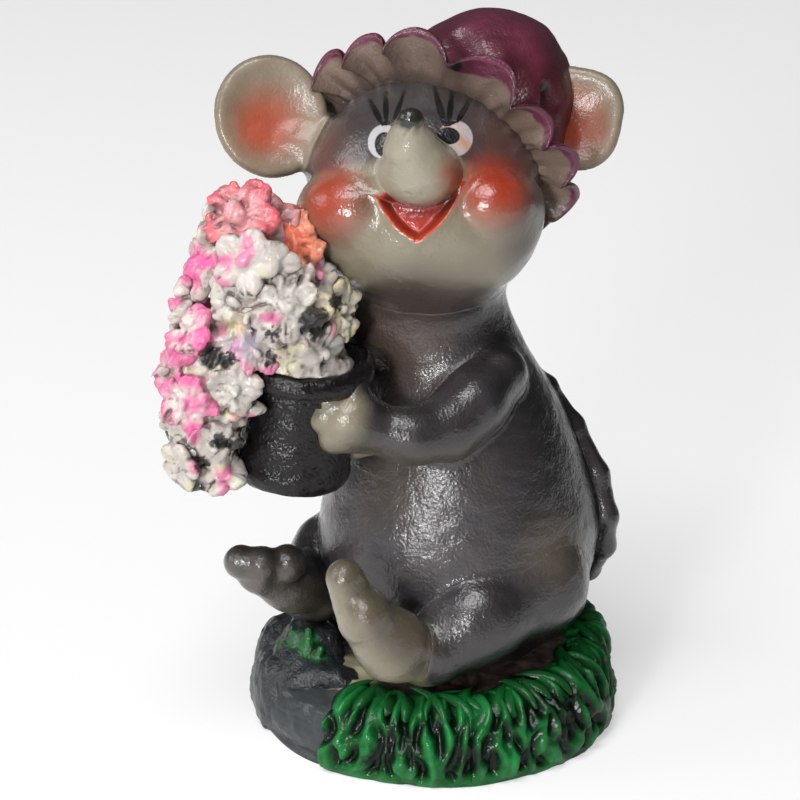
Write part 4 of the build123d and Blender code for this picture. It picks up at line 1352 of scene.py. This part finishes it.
def grass(name, first, last, seed):
    rng = np.random.default_rng(seed)
    points, faces, colour = turf(first, last)
    all_points, all_faces, colours = [points], list(faces), [colour]
    count = len(points)
    spots = []
    angle = first + 1.0
    while angle < last:
        low, high = rng.uniform(0.7, 0.8), rng.uniform(0.93, 1.0)
        curl = rng.uniform(5, 15) * rng.choice([-1, 1])
        spots.append((angle, low, high, curl, rng.uniform(2.0, 3.6), rng.uniform(0.0, 0.4)))
        angle += rng.uniform(3.6, 9.0)
    for angle, low, high, curl, width, lift in spots:
        height = rng.uniform(0.7, 1.2)
        points, faces, crest = blade(radians(angle), low, high, radians(curl), width, height, lift)
        all_faces += [[corner + count for corner in face] for face in faces]
        all_points.append(points)
        # painted light on each blade's crest and painted shade down its sides
        green = mix(rgb(6, 52, 22), rgb(24, 122, 54), smooth(0.1, 0.8, crest))
        # painted shade on the darker side of the bank
        colours.append(green * (0.65 - 0.2 * smooth(340, 380, angle)))
        count += len(points)
    piece(name, np.concatenate(all_points), all_faces, grass_paint, np.concatenate(colours))


MARKS = gouge_marks()
for row in (("grass_front", 278, 326, 1), ("grass_left", 326, 395, 2), ("grass_back", 35, 104, 3),
            ("grass_right", 104, 186, 4)):
    grass(*row)


# The tuft's leaves on the rock, by foot, tip and width
TUFT = [((-7.2, -18.6, 7.6), (-10.4, -18.6, 14.4), 1.0), ((-7.2, -18.4, 8.4), (-7.8, -18.0, 15.4), 1.1),
        ((-7.0, -18.6, 8.0), (-5.4, -17.8, 13.2), 0.9), ((-7.8, -18.9, 9.0), (-11.8, -19.2, 12.0), 0.9),
        ((-6.6, -18.8, 5.6), (-6.2, -19.4, 10.4), 0.8), ((-6.2, -18.8, 4.4), (-7.2, -19.2, 9.4), 0.8)]


def tuft_form(points):
    return np.min([rod(points, base, tip, width * 1.5, 0.5) for base, tip, width in TUFT], axis=0)


def rock_form(points):
    form = None
    for angle, size in ((184, 0.86), (211, 1.0), (240, 0.98), (263, 0.84)):
        place = vec(19.4 * cos(radians(angle)), 19.4 * sin(radians(angle)), 4.6)
        lump = egg(points, place, (8.6 * size, 8.2 * size, 8.6 * size))
        form = lump if form is None else melt(form, lump, 1.6)
    rng = np.random.default_rng(12)
    centre = vec(-12.5, -14.5, 5)
    for _ in range(26):
        facet = unit(rng.normal(size=3) * vec(1, 1, 0.7) + vec(-0.5, -0.6, 0.2))
        form = both(form, (points - centre) @ facet - rng.uniform(10.4, 12.6), 0.8)
    peak = egg(points, (-10.6, -15.2, 9.6), (5.4, 5.0, 7.2))
    for _ in range(9):
        facet = unit(rng.normal(size=3) * vec(1, 1, 0.8) + vec(-0.3, -0.4, 0.5))
        peak = both(peak, (points - vec(-10.6, -15.2, 10)) @ facet - rng.uniform(4.6, 6.0), 0.6)
    form = melt(form, peak, 0.8) + 0.3 * waves(points, 4.2, 81, 3)
    form = melt(form, tuft_form(points), 0.4)
    form = both(form, length(points[..., :2]) - 27.2, 0.8)
    return both(form, -points[..., 2], 0.3)


def rock_colour(points, normals):
    fold = openness(rock_form, points, normals, 1.0)
    colour = mix(rgb(60, 66, 70), rgb(38, 42, 46), 0.5 + 0.6 * waves(points, 4, 82, 3))
    colour = mix(colour, rgb(84, 90, 94), smooth(0.4, 0.9, waves(points, 1.6, 83, 2)) * 0.35)
    # painted shade in the rock's folds
    colour = mix(colour, rgb(24, 26, 28), smooth(0.8, 0.4, fold) * 0.8)
    # the tuft is darker in its folds as painted shade
    green = mix(rgb(14, 118, 50), rgb(5, 52, 22), smooth(0.8, 0.4, fold))
    return mix(colour, green, smooth(0.8, 0.4, tuft_form(points) + 0.3 * waves(points, 2, 84, 2)))


points, faces = sculpt(rock_form, (-30, -30, -1), (4, 4, 19))
colour = rock_colour(points, normals_of(rock_form, points))
piece("rock", points, faces, rock_paint, colour)


# Camera, light and floor
def placing(across, up, out, place):
    """A matrix with the three axes and the place as its columns."""
    matrix = np.eye(4)
    matrix[:3] = np.stack([across, up, out, place], 1)
    return Matrix(matrix.tolist())


AZIMUTH, ELEVATION, DISTANCE = radians(45), radians(20), 400.0
PIXELS_PER_MM, PICTURE_PIXELS, SENSOR_MM = 6.94, 800, 36
side = vec(cos(AZIMUTH), sin(AZIMUTH), 0)
back = vec(sin(AZIMUTH) * cos(ELEVATION), -cos(AZIMUTH) * cos(ELEVATION), sin(ELEVATION))
look_at = vec(0, 0, 48.5) - 4.9 * side
camera_data = bpy.data.cameras.new("camera")
camera_data.lens = PIXELS_PER_MM * DISTANCE / PICTURE_PIXELS * SENSOR_MM
camera_data.sensor_width = SENSOR_MM
camera_data.clip_start, camera_data.clip_end = 0.01, 20
camera = added("camera", camera_data)
camera.matrix_world = placing(side, np.cross(back, side), back, (look_at + DISTANCE * back) * MM)
bpy.context.scene.camera = camera

middle = vec(0, 0, 0.05)


def lamp(name, distance, azimuth, elevation, size, power):
    """A white oblong lamp that faces the middle of the object."""
    data = bpy.data.lights.new(name, "AREA")
    data.shape = "RECTANGLE"
    data.size, data.size_y = size
    data.energy = power
    place = middle + distance * aim(azimuth, elevation)
    added(name, data).matrix_world = placing(*axes_for(unit(place - middle)), place)


lamp("key", 1.2, -66, 13, (0.17, 0.22), 10.0)
lamp("sky", 1.5, -70, 62, (0.8, 0.8), 20.0)
lamp("fill", 1.3, -130, 25, (0.6, 0.6), 5.0)

# A world that lights dimly and looks white
world = bpy.data.worlds.new("world")
world.use_nodes = True
bpy.context.scene.world = world
background = world.node_tree.nodes["Background"]
background.inputs["Color"].default_value = (1, 1, 1, 1)
path = node(world.node_tree, "LightPath")
looked_at = node(world.node_tree, "Math")
looked_at.operation = "MAXIMUM"
wire(path, "Is Camera Ray", looked_at, 0)
wire(path, "Is Transmission Ray", looked_at, 1)
level = node(world.node_tree, "MapRange", To_Min=0.07, To_Max=1.0)
wire(looked_at, "Value", level, "Value")
wire(level, "Result", background, "Strength")

# A pale floor that the camera sees nearer to white
reach = 0.6
floor_mesh = bpy.data.meshes.new("floor")
corners = [(-reach, -reach, 0), (reach, -reach, 0), (reach, reach, 0), (-reach, reach, 0)]
floor_mesh.from_pydata(corners, [], [(0, 1, 2, 3)])
floor = added("floor", floor_mesh)
floor_paint = bpy.data.materials.new("floor_paint")
floor_paint.use_nodes = True
tree = floor_paint.node_tree
plain = tree.nodes["Principled BSDF"]
plain.inputs["Base Color"].default_value = (0.93, 0.93, 0.93, 1)
plain.inputs["Roughness"].default_value = 0.8
path = node(tree, "LightPath")
share = node(tree, "Math")
share.operation = "MULTIPLY"
share.inputs[1].default_value = 0.5
wire(path, "Is Camera Ray", share, 0)
blend = node(tree, "MixShader")
wire(share, "Value", blend, "Fac")
wire(plain, "BSDF", blend, 1)
wire(node(tree, "Emission"), "Emission", blend, 2)
wire(blend, "Shader", tree.nodes["Material Output"], "Surface")
floor_mesh.materials.append(floor_paint)

bpy.context.scene.view_settings.view_transform = "Standard"
